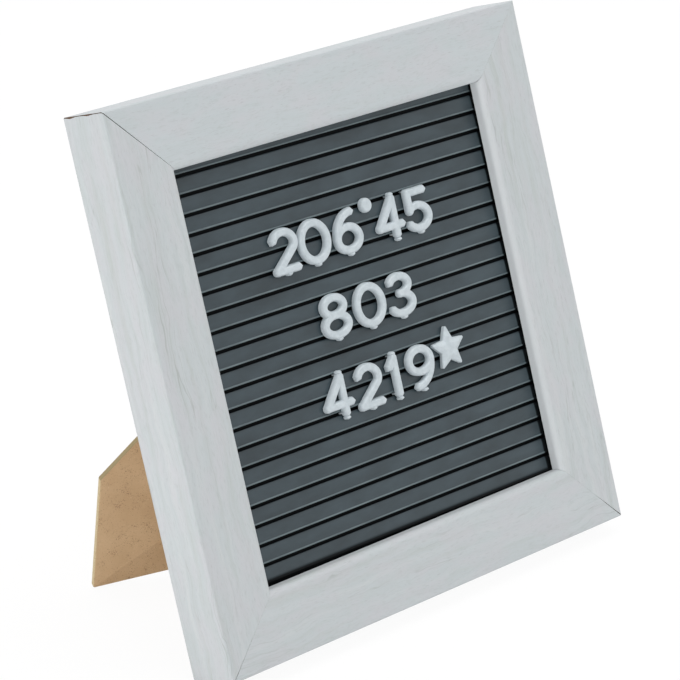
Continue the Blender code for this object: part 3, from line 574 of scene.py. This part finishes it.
def add_moulding(name, quarter_turns, figure, lip_light_share, material):
    """One mitred length of foil-wrapped moulding in its CAD node's place: the section is carried
    along the rail, and each point lies at a station's share of its own mitred length. The print's
    streaks are as strong as the figure, from 0 to 1, and the foil over the lip is painted paler, as
    painted light, by the share lip_light_share."""
    section, bare = moulding_section()
    inset, depth = section[:, 0], section[:, 1]
    arc_length = np.concatenate([[0], np.cumsum(np.linalg.norm(np.diff(section, axis=0), axis=1))])
    share = 1 - np.concatenate([MITRE_STEPS, np.linspace(0.028, HALF, 12)]) / HALF
    stations = np.concatenate([-share, share[::-1][1:]])[:, None]
    first, last = CORNERS[name, -1], CORNERS[name, 1]
    full = HALF - inset - np.where(stations < 0, mitre_gap(first, inset), mitre_gap(last, inset))
    along = stations * full
    cut = full - np.abs(along)
    worn = np.where(stations < 0, wear(first, inset, depth, cut), wear(last, inset, depth, cut))
    pushed = inset + np.clip(worn * 0.5, 0, 0.0004) * (inset < OUTER_ROUND)
    lying = np.stack([along, np.broadcast_to(depth, along.shape), pushed - HALF], 2).reshape(-1, 3)
    turn = np.array(Matrix.Rotation(-quarter_turns * math.pi / 2, 3, "Y"))
    rows, columns = along.shape
    made = piece(name + "_foil", leaned(lying @ turn.T + np.array([0, 0, HALF]), BOARD),
                 tube_faces(rows, columns), material, "board", (name,))
    lengths = np.tile(arc_length, rows)
    start = np.full(rows * columns, PRINT_SHIFT * quarter_turns)
    mark(made, "grain", np.column_stack([along.ravel(), lengths, start]))
    mark(made, "worn", worn.ravel())
    mark(made, "bare", np.tile(bare, rows))
    mark(made, "figure", np.full(rows * columns, figure))
    # Painted light on the foil over the lip's radius, by this rail's share
    over_lip = np.clip((inset - FACE + LIP_ROUND) / LIP_ROUND, 0, 1) ** 2 * (depth <= LIP_DEPTH)
    mark(made, "painted_lip_light", np.tile(over_lip * lip_light_share, rows))


# Grooved panel

def groove_heights():
    """Height of each groove's middle, from the top down."""
    return [SIDE - FACE - FIRST_GROOVE - i * GROOVE_PITCH for i in range(GROOVE_COUNT)]


def add_panel(material):
    """The grooved panel: its section of rounded beads, T-shaped grooves and slat edges that ease off
    as a square law is carried straight across."""
    front, rear = PANEL_FRONT, PANEL_FRONT + PANEL_THICKNESS
    profile = [(rear, HALF + PANEL_HALF), (front, HALF + PANEL_HALF)]
    painted_shade, bead_rub_and_highlight = [0.0, 0.0], [0.0, 0.0]
    for height in groove_heights():
        upper, lower = height + GROOVE_WIDTH / 2, height - GROOVE_WIDTH / 2
        bead = bow((front, upper + BEAD_HEIGHT / 2), (BEAD_RISE, BEAD_HEIGHT / 2), 90, 270, 10, True)
        groove = [(front + GROOVE_NECK, upper), (front + GROOVE_NECK, upper + GROOVE_UNDERCUT),
                  (front + GROOVE_DEPTH, upper + GROOVE_UNDERCUT),
                  (front + GROOVE_DEPTH, lower - GROOVE_UNDERCUT),
                  (front + GROOVE_NECK, lower - GROOVE_UNDERCUT), (front + GROOVE_NECK, lower)]
        edge = bow((front + SLAT_FALL + SLAT_EDGE, lower - SLAT_EDGE), (SLAT_EDGE, SLAT_EDGE), 90, 170, 4)
        eased = [(front + SLAT_FALL * (1 - share) ** 2, lower - SLAT_EDGE - share * SLAT_CURVE)
                 for share in np.linspace(0, 1, 10)]
        profile += bead + groove + edge + eased
        # Painted shade: every groove, the slat edge just below it, and all of a groove's bead and edge
        # that lie under the lower lip
        under_lip = 1.0 if upper < FACE + LIP_SHADE else 0.0
        edge_shade = [*GROOVE_EDGE_PAINTED_SHADE] + [0.0] * (len(edge + eased) - len(GROOVE_EDGE_PAINTED_SHADE))
        painted_shade += [under_lip] * len(bead) + [1.0] * len(groove) + np.maximum(edge_shade, under_lip).tolist()
        # Painted highlight with some rubbing along each bead's crest
        crest = np.sin(np.linspace(0, math.pi, len(bead))) ** 2
        bead_rub_and_highlight += crest.tolist() + [0.0] * len(groove + edge + eased)
    profile += [(front, HALF - PANEL_HALF), (rear, HALF - PANEL_HALF)]
    painted_shade += [0.0, 0.0]
    bead_rub_and_highlight += [0.0, 0.0]
    profile = np.array(profile)
    arc_length = np.concatenate([[0], np.cumsum(np.linalg.norm(np.diff(profile, axis=0), axis=1))])
    lip = HALF - FACE
    stations = np.array([-PANEL_HALF, -lip, LIP_SHADE - lip, 2 * LIP_SHADE - lip, -lip / 2, 0, lip / 2,
                         lip - 2 * LIP_SHADE, lip - LIP_SHADE, lip, PANEL_HALF])
    # Painted shade along the side lips, rising from none two LIP_SHADE inside a lip to full at one
    # LIP_SHADE inside it
    shades = np.clip((np.abs(stations) - lip) / LIP_SHADE + 2, 0, 1)
    across = np.repeat(stations, len(profile))
    places = np.tile(profile, (len(stations), 1))
    made = piece("letter_panel_slats", leaned(np.column_stack([across, places]), PANEL),
                 tube_faces(len(stations), len(profile)), material, "board",
                 ("letter_panel",))
    lengths = np.tile(arc_length, len(stations))
    mark(made, "grain", np.column_stack([across, lengths, np.zeros(len(across))]))
    mark(made, "painted_shade", np.maximum(shades[:, None], painted_shade).ravel())
    mark(made, "bead_rub_and_highlight", np.tile(bead_rub_and_highlight, len(stations)))


# Push-in characters

def path_distance(x, z, path, gabled=(False, False)):
    """Distance of each grid point to a line through the path's points. Past an end that is gabled
    it grows like the slopes of a low gable instead of in circles."""
    nearest = np.full_like(x, 1.0)
    half = STROKE_WIDTH / 2
    last = len(path) - 2
    for number, (start, end) in enumerate(zip(path, path[1:])):
        step_x, step_z = end[0] - start[0], end[1] - start[1]
        length = math.hypot(step_x, step_z)
        along = ((x - start[0]) * step_x + (z - start[1]) * step_z) / length
        aside = np.abs((z - start[1]) * step_x - (x - start[0]) * step_z) / length
        past = np.maximum(np.maximum(-along, along - length), 0)
        away = np.hypot(past, aside)
        slope = (aside + GABLE_SLOPE * (past - half)) / math.hypot(1, GABLE_SLOPE) + half
        gable = np.maximum(aside, slope)
        if gabled[0] and number == 0:
            away = np.where(along < 0, gable, away)
        if gabled[1] and number == last:
            away = np.where(along > length, gable, away)
        nearest = np.minimum(nearest, away)
    return nearest


def free_ends(path, others):
    """Whether each end of a path stands clear of itself and of the other paths."""
    found = []
    for end in (path[0], path[-1]):
        point_x, point_z = np.array([end[0]]), np.array([end[1]])
        clear = math.dist(path[0], path[-1]) > STROKE_WIDTH / 4
        for other in others:
            clear = clear and path_distance(point_x, point_z, other)[0] > STROKE_WIDTH / 4
        found.append(clear)
    return tuple(found)


def filleted(first, second):
    """The union of two distance fields with a small fillet where they meet: the first goes over to
    the second within the fillet's width, less a parabola between."""
    share = np.clip(0.5 + 0.5 * (second - first) / FILLET, 0, 1)
    return second + (first - second) * share - FILLET / 2 * share * (1 - share)


def numeral_paths(shape, width, height):
    """Centre lines of one numeral about its foot, and the places of its pips."""
    half = (width - STROKE_WIDTH) / 2
    low, high = STROKE_WIDTH / 2, height - STROKE_WIDTH / 2
    rise = high - low
    middle = (low + high) / 2
    if shape == "0":
        return [bow((0, middle), (half, rise / 2), 0, 360, 48, True)], [(0, 0)]
    if shape == "1":
        stem = half * 0.7
        return ([[(stem, low), (stem, high)], [(stem, high), (-half, high - 0.24 * rise)]],
                [(stem, 0), (stem, height)])
    if shape == "2":
        bowl = 0.3 * rise
        hook = bow((0, high - bowl), (half, bowl), 160, -30, 26, True)
        return [hook + [(-half, low)], [(-half, low), (half, low)]], [(0, 0)]
    if shape == "3":
        upper, lower = 0.235 * rise, 0.265 * rise
        return [bow((0, high - upper), (0.88 * half, upper), 155, -90, 26, True),
                bow((0, low + lower), (half, lower), 90, -155, 26, True)], [(0, 0)]
    if shape == "4":
        stem, bar = 0.4 * half, low + 0.27 * rise
        return [[(stem, high), (-half, bar)], [(-half, bar), (half, bar)],
                [(stem, low), (stem, high)]], [(stem, 0), (stem, height)]
    if shape == "5":
        bowl, left = 0.31 * rise, -0.78 * half
        return [[(left, high), (0.85 * half, high)], [(left, high), (left, middle)],
                bow((-0.05 * half, low + bowl), (1.05 * half, bowl), 135, -150, 28, True)], [(0, 0)]
    if shape == "6":
        bowl = 0.31 * rise
        shoulder = (0.62 * half, low + bowl)
        neck = bow(shoulder, (half + shoulder[0], high - shoulder[1]), 92, 178, 16, True)
        return [bow((0, low + bowl), (half, bowl), 0, 360, 40, True), neck], [(0, 0)]
    if shape == "8":
        upper, lower = 0.235 * rise, 0.265 * rise
        return [bow((0, low + lower), (half, lower), 0, 360, 40, True),
                bow((0, high - upper), (0.86 * half, upper), 0, 360, 40, True)], [(0, 0)]
    paths, _ = numeral_paths("6", width, height)
    return [[(-x, height - z) for x, z in path] for path in paths], [(0, 0)]


def numeral_field(paths, pips):
    """Distance field of a numeral, below zero inside its outline: the distance to the centre lines
    less half the stroke, joined by fillets to an ellipse at each pip."""
    ends = [free_ends(path, [other for other in paths if other is not path]) for path in paths]

    def field(x, z):
        found = path_distance(x, z, paths[0], ends[0]) - STROKE_WIDTH / 2
        for path, gabled in zip(paths[1:], ends[1:]):
            found = filleted(found, path_distance(x, z, path, gabled) - STROKE_WIDTH / 2)
        for pip_x, pip_z in pips:
            away_x, away_z = (x - pip_x) * PIP_SQUEEZE, z - pip_z
            reach = np.hypot(away_x, away_z)
            steep = np.maximum(np.hypot(away_x * PIP_SQUEEZE, away_z) / (reach + 1e-9), 0.5)
            found = filleted(found, (reach - PIP_RADIUS) / steep)
        return found
    return field


def star_field():
    """Distance field of a five-pointed star: the distance to its ten sides, below zero where a line
    drawn across from the point meets an odd number of them, less the radius of the star's points."""
    corners = []
    for corner in range(10):
        reach = (STAR_RADIUS - STAR_POINT_ROUND * 2.2) * (1 if corner % 2 == 0 else STAR_WAIST)
        angle = math.radians(90 + 36 * corner)
        corners.append((reach * math.cos(angle), reach * math.sin(angle)))
    corners.append(corners[0])

    def field(x, z):
        inside = np.zeros(x.shape, bool)
        for start, end in zip(corners, corners[1:]):
            crosses = (start[1] > z) != (end[1] > z)
            slope = (end[0] - start[0]) * (z - start[1]) / (end[1] - start[1] + 1e-12) + start[0]
            inside ^= crosses & (x < slope)
        away = path_distance(x, z, corners)
        return np.where(inside, -away, away) - STAR_POINT_ROUND
    return field


def round_crown(within):
    """Height of a stroke over its wall, from 0 at its outline to 1 on its flat front: 1 less a power
    of the share of the shoulder that is still to go."""
    share = np.clip(within / SHOULDER, 0, 1)
    return 1 - (1 - share) ** CROWN_POWER


def hipped_crown(within):
    """Height of the star, from 0 to 1: a quarter of it up a short steep edge, and straight slopes
    from there to a small flat."""
    share = np.clip(within / STAR_SLOPE, 0, 1)
    return 0.25 * np.clip(share * 8, 0, 1) + 0.75 * share


def onto_outline(field, x, z):
    """Points moved onto the field's zero line, in three steps: each goes along the slope by the
    field's value over the slope's square."""
    step = CELL / 8
    for _ in range(3):
        slope_x = (field(x + step, z) - field(x - step, z)) / (2 * step)
        slope_z = (field(x, z + step) - field(x, z - step)) / (2 * step)
        move = field(x, z) / np.maximum(slope_x ** 2 + slope_z ** 2, 0.3)
        x, z = x - move * slope_x, z - move * slope_z
    return x, z


def moulded(field, crown, low, high, place):
    """Points and faces of a moulded shape over its distance field, between two corners: a square
    grid whose outer points are moved onto the outline, with the crown's height by the distance
    inside it, a flat back, and a wall between the two."""
    across = np.arange(low[0], high[0] + CELL, CELL)
    up = np.arange(low[1], high[1] + CELL, CELL)
    x, z = np.meshgrid(across, up, indexing="ij")
    distance = field(x, z)
    kept = distance < CELL / 2
    quad = kept[:-1, :-1] & kept[1:, :-1] & kept[1:, 1:] & kept[:-1, 1:]
    fourfold = np.zeros(x.shape, bool)
    fourfold[1:-1, 1:-1] = quad[:-1, :-1] & quad[1:, :-1] & quad[1:, 1:] & quad[:-1, 1:]
    edge = kept & ~fourfold | (np.abs(distance) < CELL / 2)
    x[edge], z[edge] = onto_outline(field, x[edge], z[edge])
    within = np.where(edge, 0, -distance)
    number = np.arange(x.size).reshape(x.shape)
    corners = np.stack([number[:-1, :-1][quad], number[1:, :-1][quad],
                        number[1:, 1:][quad], number[:-1, 1:][quad]], 1)
    used, index = np.unique(corners, return_inverse=True)
    corners = index.reshape(corners.shape)
    wall = CHARACTER_BACK - CHARACTER_FRONT - CROWN_RISE
    front_depth = CHARACTER_BACK - wall - CROWN_RISE * crown(within.ravel()[used])
    flat_x, flat_z = x.ravel()[used] + place[0], z.ravel()[used] + place[1]
    front = np.stack([flat_x, front_depth, flat_z], 1)
    back = np.stack([flat_x, np.full_like(flat_x, CHARACTER_BACK), flat_z], 1)
    offset = len(front)
    edges = np.concatenate([corners[:, [0, 1]], corners[:, [1, 2]], corners[:, [2, 3]],
                            corners[:, [3, 0]]])
    key = np.sort(edges, axis=1)
    _, first, count = np.unique(key, axis=0, return_index=True, return_counts=True)
    start, end = edges[first[count == 1]].T
    wall_faces = np.stack([end, start, start + offset, end + offset], 1)
    faces = np.concatenate([corners, corners[:, ::-1] + offset, wall_faces])
    return np.concatenate([front, back]), faces.tolist()


def block(low, high):
    """Points and faces of a plain block between two corners."""
    points = [(x, y, z) for x in (low[0], high[0]) for y in (low[1], high[1])
              for z in (low[2], high[2])]
    faces = [(0, 1, 3, 2), (4, 6, 7, 5), (0, 4, 5, 1), (2, 3, 7, 6), (0, 2, 6, 4), (1, 5, 7, 3)]
    return np.array(points), faces


def tab(across, height):
    """The tab behind a character that presses into a groove."""
    return block((across - TAB_WIDTH / 2, CHARACTER_BACK - 0.0008, height - TAB_THICKNESS / 2),
                 (across + TAB_WIDTH / 2, PANEL_FRONT + TAB_REACH, height + TAB_THICKNESS / 2))


def tab_across(field, height, half_width):
    """Where a character has material at this height, nearest its middle."""
    x = np.linspace(-half_width, half_width, 161)
    within = field(x, np.full_like(x, height))
    solid = x[within < -STROKE_WIDTH / 4]
    if len(solid) == 0:
        return float(x[np.argmin(within)])
    return float(solid[np.argmin(np.abs(solid))])


def add_character(node, shape, across, width, groove, material):
    """One moulded character in its CAD node's place."""
    heights = groove_heights()
    foot = heights[groove] - TAB_BELOW
    if shape == "dot":
        centre = heights[groove - 2] + TAB_ABOVE - DOT_RADIUS + STROKE_WIDTH / 2

        def field(x, z):
            return np.hypot(x, z) - DOT_RADIUS
        reach = DOT_RADIUS + 4 * CELL
        body = moulded(field, round_crown, (-reach, -reach), (reach, reach), (across, centre))
        tabs = [tab(across, heights[groove - 2])]
    else:
        paths, pips = numeral_paths(shape, width, CHARACTER_HEIGHT)
        field = numeral_field(paths, pips)
        low = (-width / 2 - 0.001, -0.002)
        high = (width / 2 + 0.001, CHARACTER_HEIGHT + 0.002)
        body = moulded(field, round_crown, low, high, (across, foot))
        tabs = [tab(across + tab_across(field, level - foot, width / 2), level)
                for level in (heights[groove], heights[groove - 2])]
    points, faces = merged([body] + tabs)
    return piece(node + "_moulded", leaned(points, PANEL), faces, material, "board",
                 (node,), sharp=50)


def add_characters(material):
    """All rows of characters and the star."""
    for groove, shapes in ROWS:
        for node, shape, across, width in shapes:
            add_character(node, shape, across / 1000, width / 1000, groove, material)
    reach = STAR_RADIUS + 4 * CELL
    star = moulded(star_field(), hipped_crown, (-reach, -reach), (reach, reach), STAR_CENTRE)
    level = min(groove_heights(), key=lambda height: abs(height - STAR_CENTRE[1]))
    points, faces = merged([star, tab(STAR_CENTRE[0], level)])
    piece("row3_star_moulded", leaned(points, PANEL), faces, material, "board",
          ("row3_star",), sharp=24)


# Strut, hinge and fastenings

def inward(outline, distance):
    """An outline moved inwards by the distance: each corner goes along the middle of its two sides'
    normals, by the distance over the cosine of half its turn."""
    points = np.array(outline)
    before = points - np.roll(points, 1, axis=0)
    after = np.roll(points, -1, axis=0) - points
    before /= np.linalg.norm(before, axis=1)[:, None]
    after /= np.linalg.norm(after, axis=1)[:, None]
    turning = np.sign(np.sum(points[:, 0] * np.roll(points[:, 1], -1)
                             - np.roll(points[:, 0], -1) * points[:, 1]))
    normal = np.stack([-before[:, 1] - after[:, 1], before[:, 0] + after[:, 0]], 1)
    normal /= np.linalg.norm(normal, axis=1)[:, None]
    spread = np.sqrt(np.maximum((1 + np.sum(before * after, axis=1)) / 2, 0.05))
    return points + normal * turning * (distance / spread)[:, None]


def plate(outline, low, high, round_edge, steps=3):
    """Points and faces of a flat plate between two depths: its (across, up) outline is moved inwards
    along a quarter circle at each face, which rounds the edges. The third value has a row per ring
    of points, with 1 on the plate's edges."""
    rings, edges = [], []
    for level, start, sign in ((low, 0, 1), (high, 90, -1)):
        for step in range(steps + 1):
            angle = math.radians(start + 90 * step / steps)
            out = abs(math.sin(angle))
            depth = level + sign * round_edge * (1 - abs(math.cos(angle)))
            ring = inward(outline, round_edge * (1 - out))
            rings.append(np.stack([ring[:, 0], np.full(len(ring), depth), ring[:, 1]], 1))
            edges.append(np.full(len(ring), 1.0 if out > 0.2 else 0.0))
    return np.concatenate(rings), tube_faces(len(rings), len(outline)), np.array(edges)


def strut_outline():
    """Outline of the strut as (across, up) points about the pin: two sides, two tapers that meet in a
    round nose, and a point on each taper just past its shoulder, where the painted shade edge ends."""
    shoulder = STRUT_TIP - STRUT_HALF_WIDTH / math.tan(STRUT_POINT)
    round_centre = STRUT_TIP - STRUT_TIP_ROUND / math.sin(STRUT_POINT)
    spread = 90 - math.degrees(STRUT_POINT)
    nose = bow((0, -round_centre), (STRUT_TIP_ROUND, STRUT_TIP_ROUND), -90 + spread, -90 - spread,
               10, True)
    half = STRUT_HALF_WIDTH
    tapered = (half - PAINTED_SHADE_EDGE_END * math.sin(STRUT_POINT),
               -shoulder - PAINTED_SHADE_EDGE_END * math.cos(STRUT_POINT))
    return [(-half + STRUT_TOP_CUT, -STRUT_TOP), (half - STRUT_TOP_CUT, -STRUT_TOP),
            (half, -STRUT_TOP - STRUT_TOP_CUT), (half, -shoulder), tapered, *nose,
            (-tapered[0], tapered[1]), (-half, -shoulder), (-half, -STRUT_TOP - STRUT_TOP_CUT)]


def add_strut(material):
    """The fibreboard strut: sawn pale along its tapers, and painted darker along its sides as shade."""
    outline = strut_outline()
    points, faces, edges = plate(outline, STRUT_FRONT, STRUT_FRONT + STRUT_THICKNESS, STRUT_EDGE_ROUND)
    sides = np.abs(np.array(outline)[:, 0]) > STRUT_HALF_WIDTH - 0.0001
    made = piece("strut_board", leaned(points, STRUT), faces, material, "strut",
                 ("strut",))
    mark(made, "sawn", edges.ravel())
    mark(made, "painted_shade_edge", (edges * sides).ravel())


def turned_part(profile, centre, axis_frame, segments=40):
    """Points and faces of a part turned about a local axis: each (radius, height) point of the
    profile, from the foot, goes round in a circle."""
    angles = np.arange(segments) * 2 * math.pi / segments
    radius, height = np.array(profile).T[:, :, None]
    points = np.stack([radius * np.cos(angles), height + 0 * angles, radius * np.sin(angles)], 2)
    return leaned(points.reshape(-1, 3) + np.array(centre), axis_frame), tube_faces(len(profile), segments)


def dome(radius, rise, steps=8):
    """A dome's (radius, height) points from its foot to its crown, on a quarter of an ellipse."""
    return [(radius * math.cos(t) + 1e-6, rise * math.sin(t))
            for t in np.linspace(0, math.pi / 2 * 0.96, steps)]


def bar(radius, start, end, segments=48):
    """Points and faces of a round bar along the pin's axis, in the hinge's frame: four circles, the
    outer two a little smaller so that the ends are eased."""
    ease = radius * 0.08
    angles = np.arange(segments) * 2 * math.pi / segments
    along = np.array([start, start + ease, end - ease, end])[:, None]
    size = np.array([radius - ease, radius, radius, radius - ease])[:, None]
    points = np.stack([along + 0 * angles, size * np.cos(angles), size * np.sin(angles)], 2)
    return points.reshape(-1, 3), tube_faces(len(along), segments)


def add_hinge(material):
    """The pressed leaf hinge: two leaves with rolled knuckles, and the pin through them. The moving
    leaf's heels pass the pin far enough to meet the back board when the strut is open."""
    low, high = LEAF_FRONT, LEAF_FRONT + LEAF_THICKNESS
    outer, length = BASE_LEAF_HALF_WIDTH, BASE_LEAF_LENGTH
    inner, middle, clear = OUTER_KNUCKLE_END, MIDDLE_KNUCKLE_END, KNUCKLE_CLEAR
    base = [(-outer, 0), (-outer, length - LEAF_CORNER), (-outer + LEAF_CORNER, length),
            (outer - LEAF_CORNER, length), (outer, length - LEAF_CORNER), (outer, 0), (inner, 0),
            (inner, clear), (-inner, clear), (-inner, 0)]
    parts = [plate(base, low, high, LEAF_EDGE_ROUND, 2)[:2], bar(KNUCKLE_RADIUS, -outer, -inner),
             bar(KNUCKLE_RADIUS, inner, outer)]
    points, faces = merged(parts)
    piece("hinge_base_leaf_pressed", leaned(points, HINGE), faces, material, "board",
          ("hinge_base_leaf",))
    heel = (KNUCKLE_RADIUS + LEAF_FRONT * math.cos(OPEN_ANGLE)) / math.sin(OPEN_ANGLE)
    reach, wide = LEAF_LENGTH, LEAF_HALF_WIDTH
    moving = [(-wide, heel), (-HEEL_INNER, heel), (-HEEL_INNER, -clear), (-middle, -clear),
              (-middle, 0), (middle, 0), (middle, -clear), (HEEL_INNER, -clear),
              (HEEL_INNER, heel), (wide, heel), (wide, -reach + LEAF_CORNER),
              (wide - LEAF_CORNER, -reach), (-wide + LEAF_CORNER, -reach), (-wide, -reach + LEAF_CORNER)]
    parts = [plate(moving, low, high, LEAF_EDGE_ROUND, 2)[:2], bar(KNUCKLE_RADIUS, -middle, middle)]
    points, faces = merged(parts)
    piece("strut_leaf_pressed", leaned(points, STRUT), faces, material, "strut",
          ("strut_leaf",))
    shoulder, head = PIN_SHOULDER, PIN_HEAD_LENGTH
    parts = [bar(PIN_RADIUS, -shoulder - head / 2, shoulder + head / 2),
             bar(PIN_HEAD_RADIUS, -shoulder - head, -shoulder),
             bar(PIN_HEAD_RADIUS, shoulder, shoulder + head)]
    points, faces = merged(parts)
    piece("hinge_pin_peened", leaned(points, HINGE), faces, material, "board",
          ("hinge_pin",))


def add_rivets(material):
    """Domed rivets that hold the leaves to the back board and to the strut."""
    head = [(RIVET_RADIUS, -0.0001)] + dome(RIVET_RADIUS, RIVET_RISE)
    for label, body, places, depth, leaf_frame in (
            ("base_rivet", "board", BASE_RIVETS, LEAF_FRONT + LEAF_THICKNESS, HINGE),
            ("strut_rivet", "strut", STRUT_RIVETS, STRUT_FRONT + STRUT_THICKNESS, STRUT)):
        for number, (across, up) in enumerate(places, start=1):
            points, faces = turned_part(head, (across, depth, up), leaf_frame)
            piece(f"{label}_{number}", points, faces, material, body)


def screw_head(centre, segments=64):
    """Points and faces of a pan head with a cross recess, standing out of the back of the board: the
    head's profile goes round in circles, and the recess keeps within its cross's straight sides."""
    angles = np.arange(segments) * 2 * math.pi / segments + 0.01
    arm = np.maximum(CROSS_HALF / np.abs(np.sin(angles)), CROSS_HALF / np.abs(np.cos(angles)))
    rings = [(np.full(segments, radius), height) for radius, height in SCREW_HEAD]
    rings += [(np.minimum(arm, 0.0014), 0.00125), (np.minimum(arm * 0.85, 0.0009), 0.0004)]
    points = [np.stack([centre[0] + radius * np.cos(angles),
                        np.full(segments, SCREW_DEPTH + height),
                        centre[1] + radius * np.sin(angles)], 1) for radius, height in rings]
    return np.concatenate(points), tube_faces(len(rings), segments)


def add_fastenings(material):
    """A screw through each turn button, and two V-nails pressed into the back of each mitre."""
    for name, centre in BUTTONS.items():
        points, faces = screw_head(centre)
        piece("screw_" + name, leaned(points, BOARD), faces, material, "board", sharp=30)
    for name, right, up in (("lower_left", -1, -1), ("lower_right", 1, -1),
                            ("upper_right", 1, 1), ("upper_left", -1, 1)):
        parts = []
        for apex in V_NAIL_POINTS:
            far, near = apex + V_NAIL_LEG, apex + V_NAIL_THICKNESS
            shape = [(apex, apex), (far, apex), (far, near), (near, near), (near, far), (apex, far)]
            outline = [(right * (HALF - a), HALF + up * (HALF - b)) for a, b in shape]
            rings = [[(x, depth, z) for x, z in outline] for depth in V_NAIL_DEPTHS]
            parts.append((np.array(rings), tube_faces(len(rings), len(outline))))
        points, faces = merged(parts)
        piece("v_nails_" + name, leaned(points, BOARD), faces, material, "board")


# Floor, light and camera

CAMERA_PLACE = Vector((-0.91503, -0.945679, 0.62489))
CAMERA_AIM = Vector((-0.02585, -0.027939, 0.12399))
CAMERA_LENS = 172.14

# Share of white that the floor shows the camera, and the studio's light on the object
FLOOR_WHITE = 0.94
STUDIO_LIGHT = 0.755

# Each lamp's place, the point it shines at, its side in metres and its power in watts
LAMPS = (
    ("top", (0.2, -0.12, 2.3), (0, 0, 0.1), 1.4, 20.0),
    ("left", (-2.3, -0.4, 0.25), (0, 0, 0.1), 1.8, 13.0),
    ("low_left", (-0.6, 0.05, 0.03), (-0.12, 0.0, 0.0), 0.3, 0.55),
    ("right", (1.45, -0.53, 1.68), (0, 0, 0.1), 0.8, 2.5),
)


def add_floor():
    """A wide plain floor just under the board."""
    mesh = bpy.data.meshes.new("floor")
    reach = 6.0
    mesh.from_pydata([(-reach, -reach, 0), (reach, -reach, 0), (reach, reach, 0), (-reach, reach, 0)],
                     [], [(0, 1, 2, 3)])
    mesh.materials.append(floor_material())
    floor = bpy.data.objects.new("floor", mesh)
    floor.location.z = -0.0002
    bpy.context.scene.collection.objects.link(floor)


def add_light(name, place, aim, size, power):
    """A soft square lamp."""
    data = bpy.data.lights.new(name, "AREA")
    data.shape = "SQUARE"
    data.size = size
    data.energy = power
    lamp = bpy.data.objects.new(name, data)
    lamp.location = place
    lamp.rotation_mode = "QUATERNION"
    lamp.rotation_quaternion = (Vector(aim) - Vector(place)).to_track_quat("-Z", "Y")
    bpy.context.scene.collection.objects.link(lamp)


def add_world():
    """Even studio light from all round, white to the camera and in reflections."""
    world = bpy.data.worlds.new("studio")
    world.use_nodes = True
    tree = world.node_tree
    through = add(tree, "LightPath", output="Is Transmission Ray")
    seen = add(tree, "Math", {0: seen_white(tree), 1: through}, operation="MAXIMUM")
    strength = add(tree, "Mix", {0: seen, 2: STUDIO_LIGHT, 3: 1.0}, data_type="FLOAT")
    feed(tree, tree.nodes["Background"], {"Color": grey(1), "Strength": strength})
    bpy.context.scene.world = world


def add_camera():
    """The camera at the photograph's angle, with no shift."""
    data = bpy.data.cameras.new("camera")
    data.sensor_width = 36.0
    data.lens = CAMERA_LENS
    data.clip_start, data.clip_end = 0.05, 50.0
    camera = bpy.data.objects.new("camera", data)
    camera.location = CAMERA_PLACE
    camera.rotation_mode = "QUATERNION"
    camera.rotation_quaternion = (CAMERA_AIM - CAMERA_PLACE).to_track_quat("-Z", "Y")
    bpy.context.scene.collection.objects.link(camera)
    bpy.context.scene.camera = camera


def dress(nodes):
    """Builds every piece and gives the battens, the back board and the turn buttons their materials."""
    foil, board, slate = foil_material(), fibreboard_material(), slate_material()
    white, zinc = white_plastic_material(), zinc_material()
    for name, node in nodes.items():
        if name.startswith(("batten", "back_board")):
            node.material_slots[0].material = board
        elif name.startswith("turn_button"):
            node.material_slots[0].material = zinc
    # Each rail: how strong its print's streaks are, and how much painted light its lip gets
    mouldings = (("bottom_rail", 0.75, 0.0), ("right_stile", 0.9, 0.9), ("top_rail", 0.35, 0.5),
                 ("left_stile", 1.0, 0.5))
    for quarter_turns, (name, figure, lip_light_share) in enumerate(mouldings):
        add_moulding(name, quarter_turns, figure, lip_light_share, foil)
    add_panel(slate)
    add_characters(white)
    add_strut(board)
    add_hinge(zinc)
    add_rivets(zinc)
    add_fastenings(zinc)


dress(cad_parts)
add_floor()
add_world()
for lamp_settings in LAMPS:
    add_light(*lamp_settings)
add_camera()
bpy.context.scene.view_settings.view_transform = "Standard"
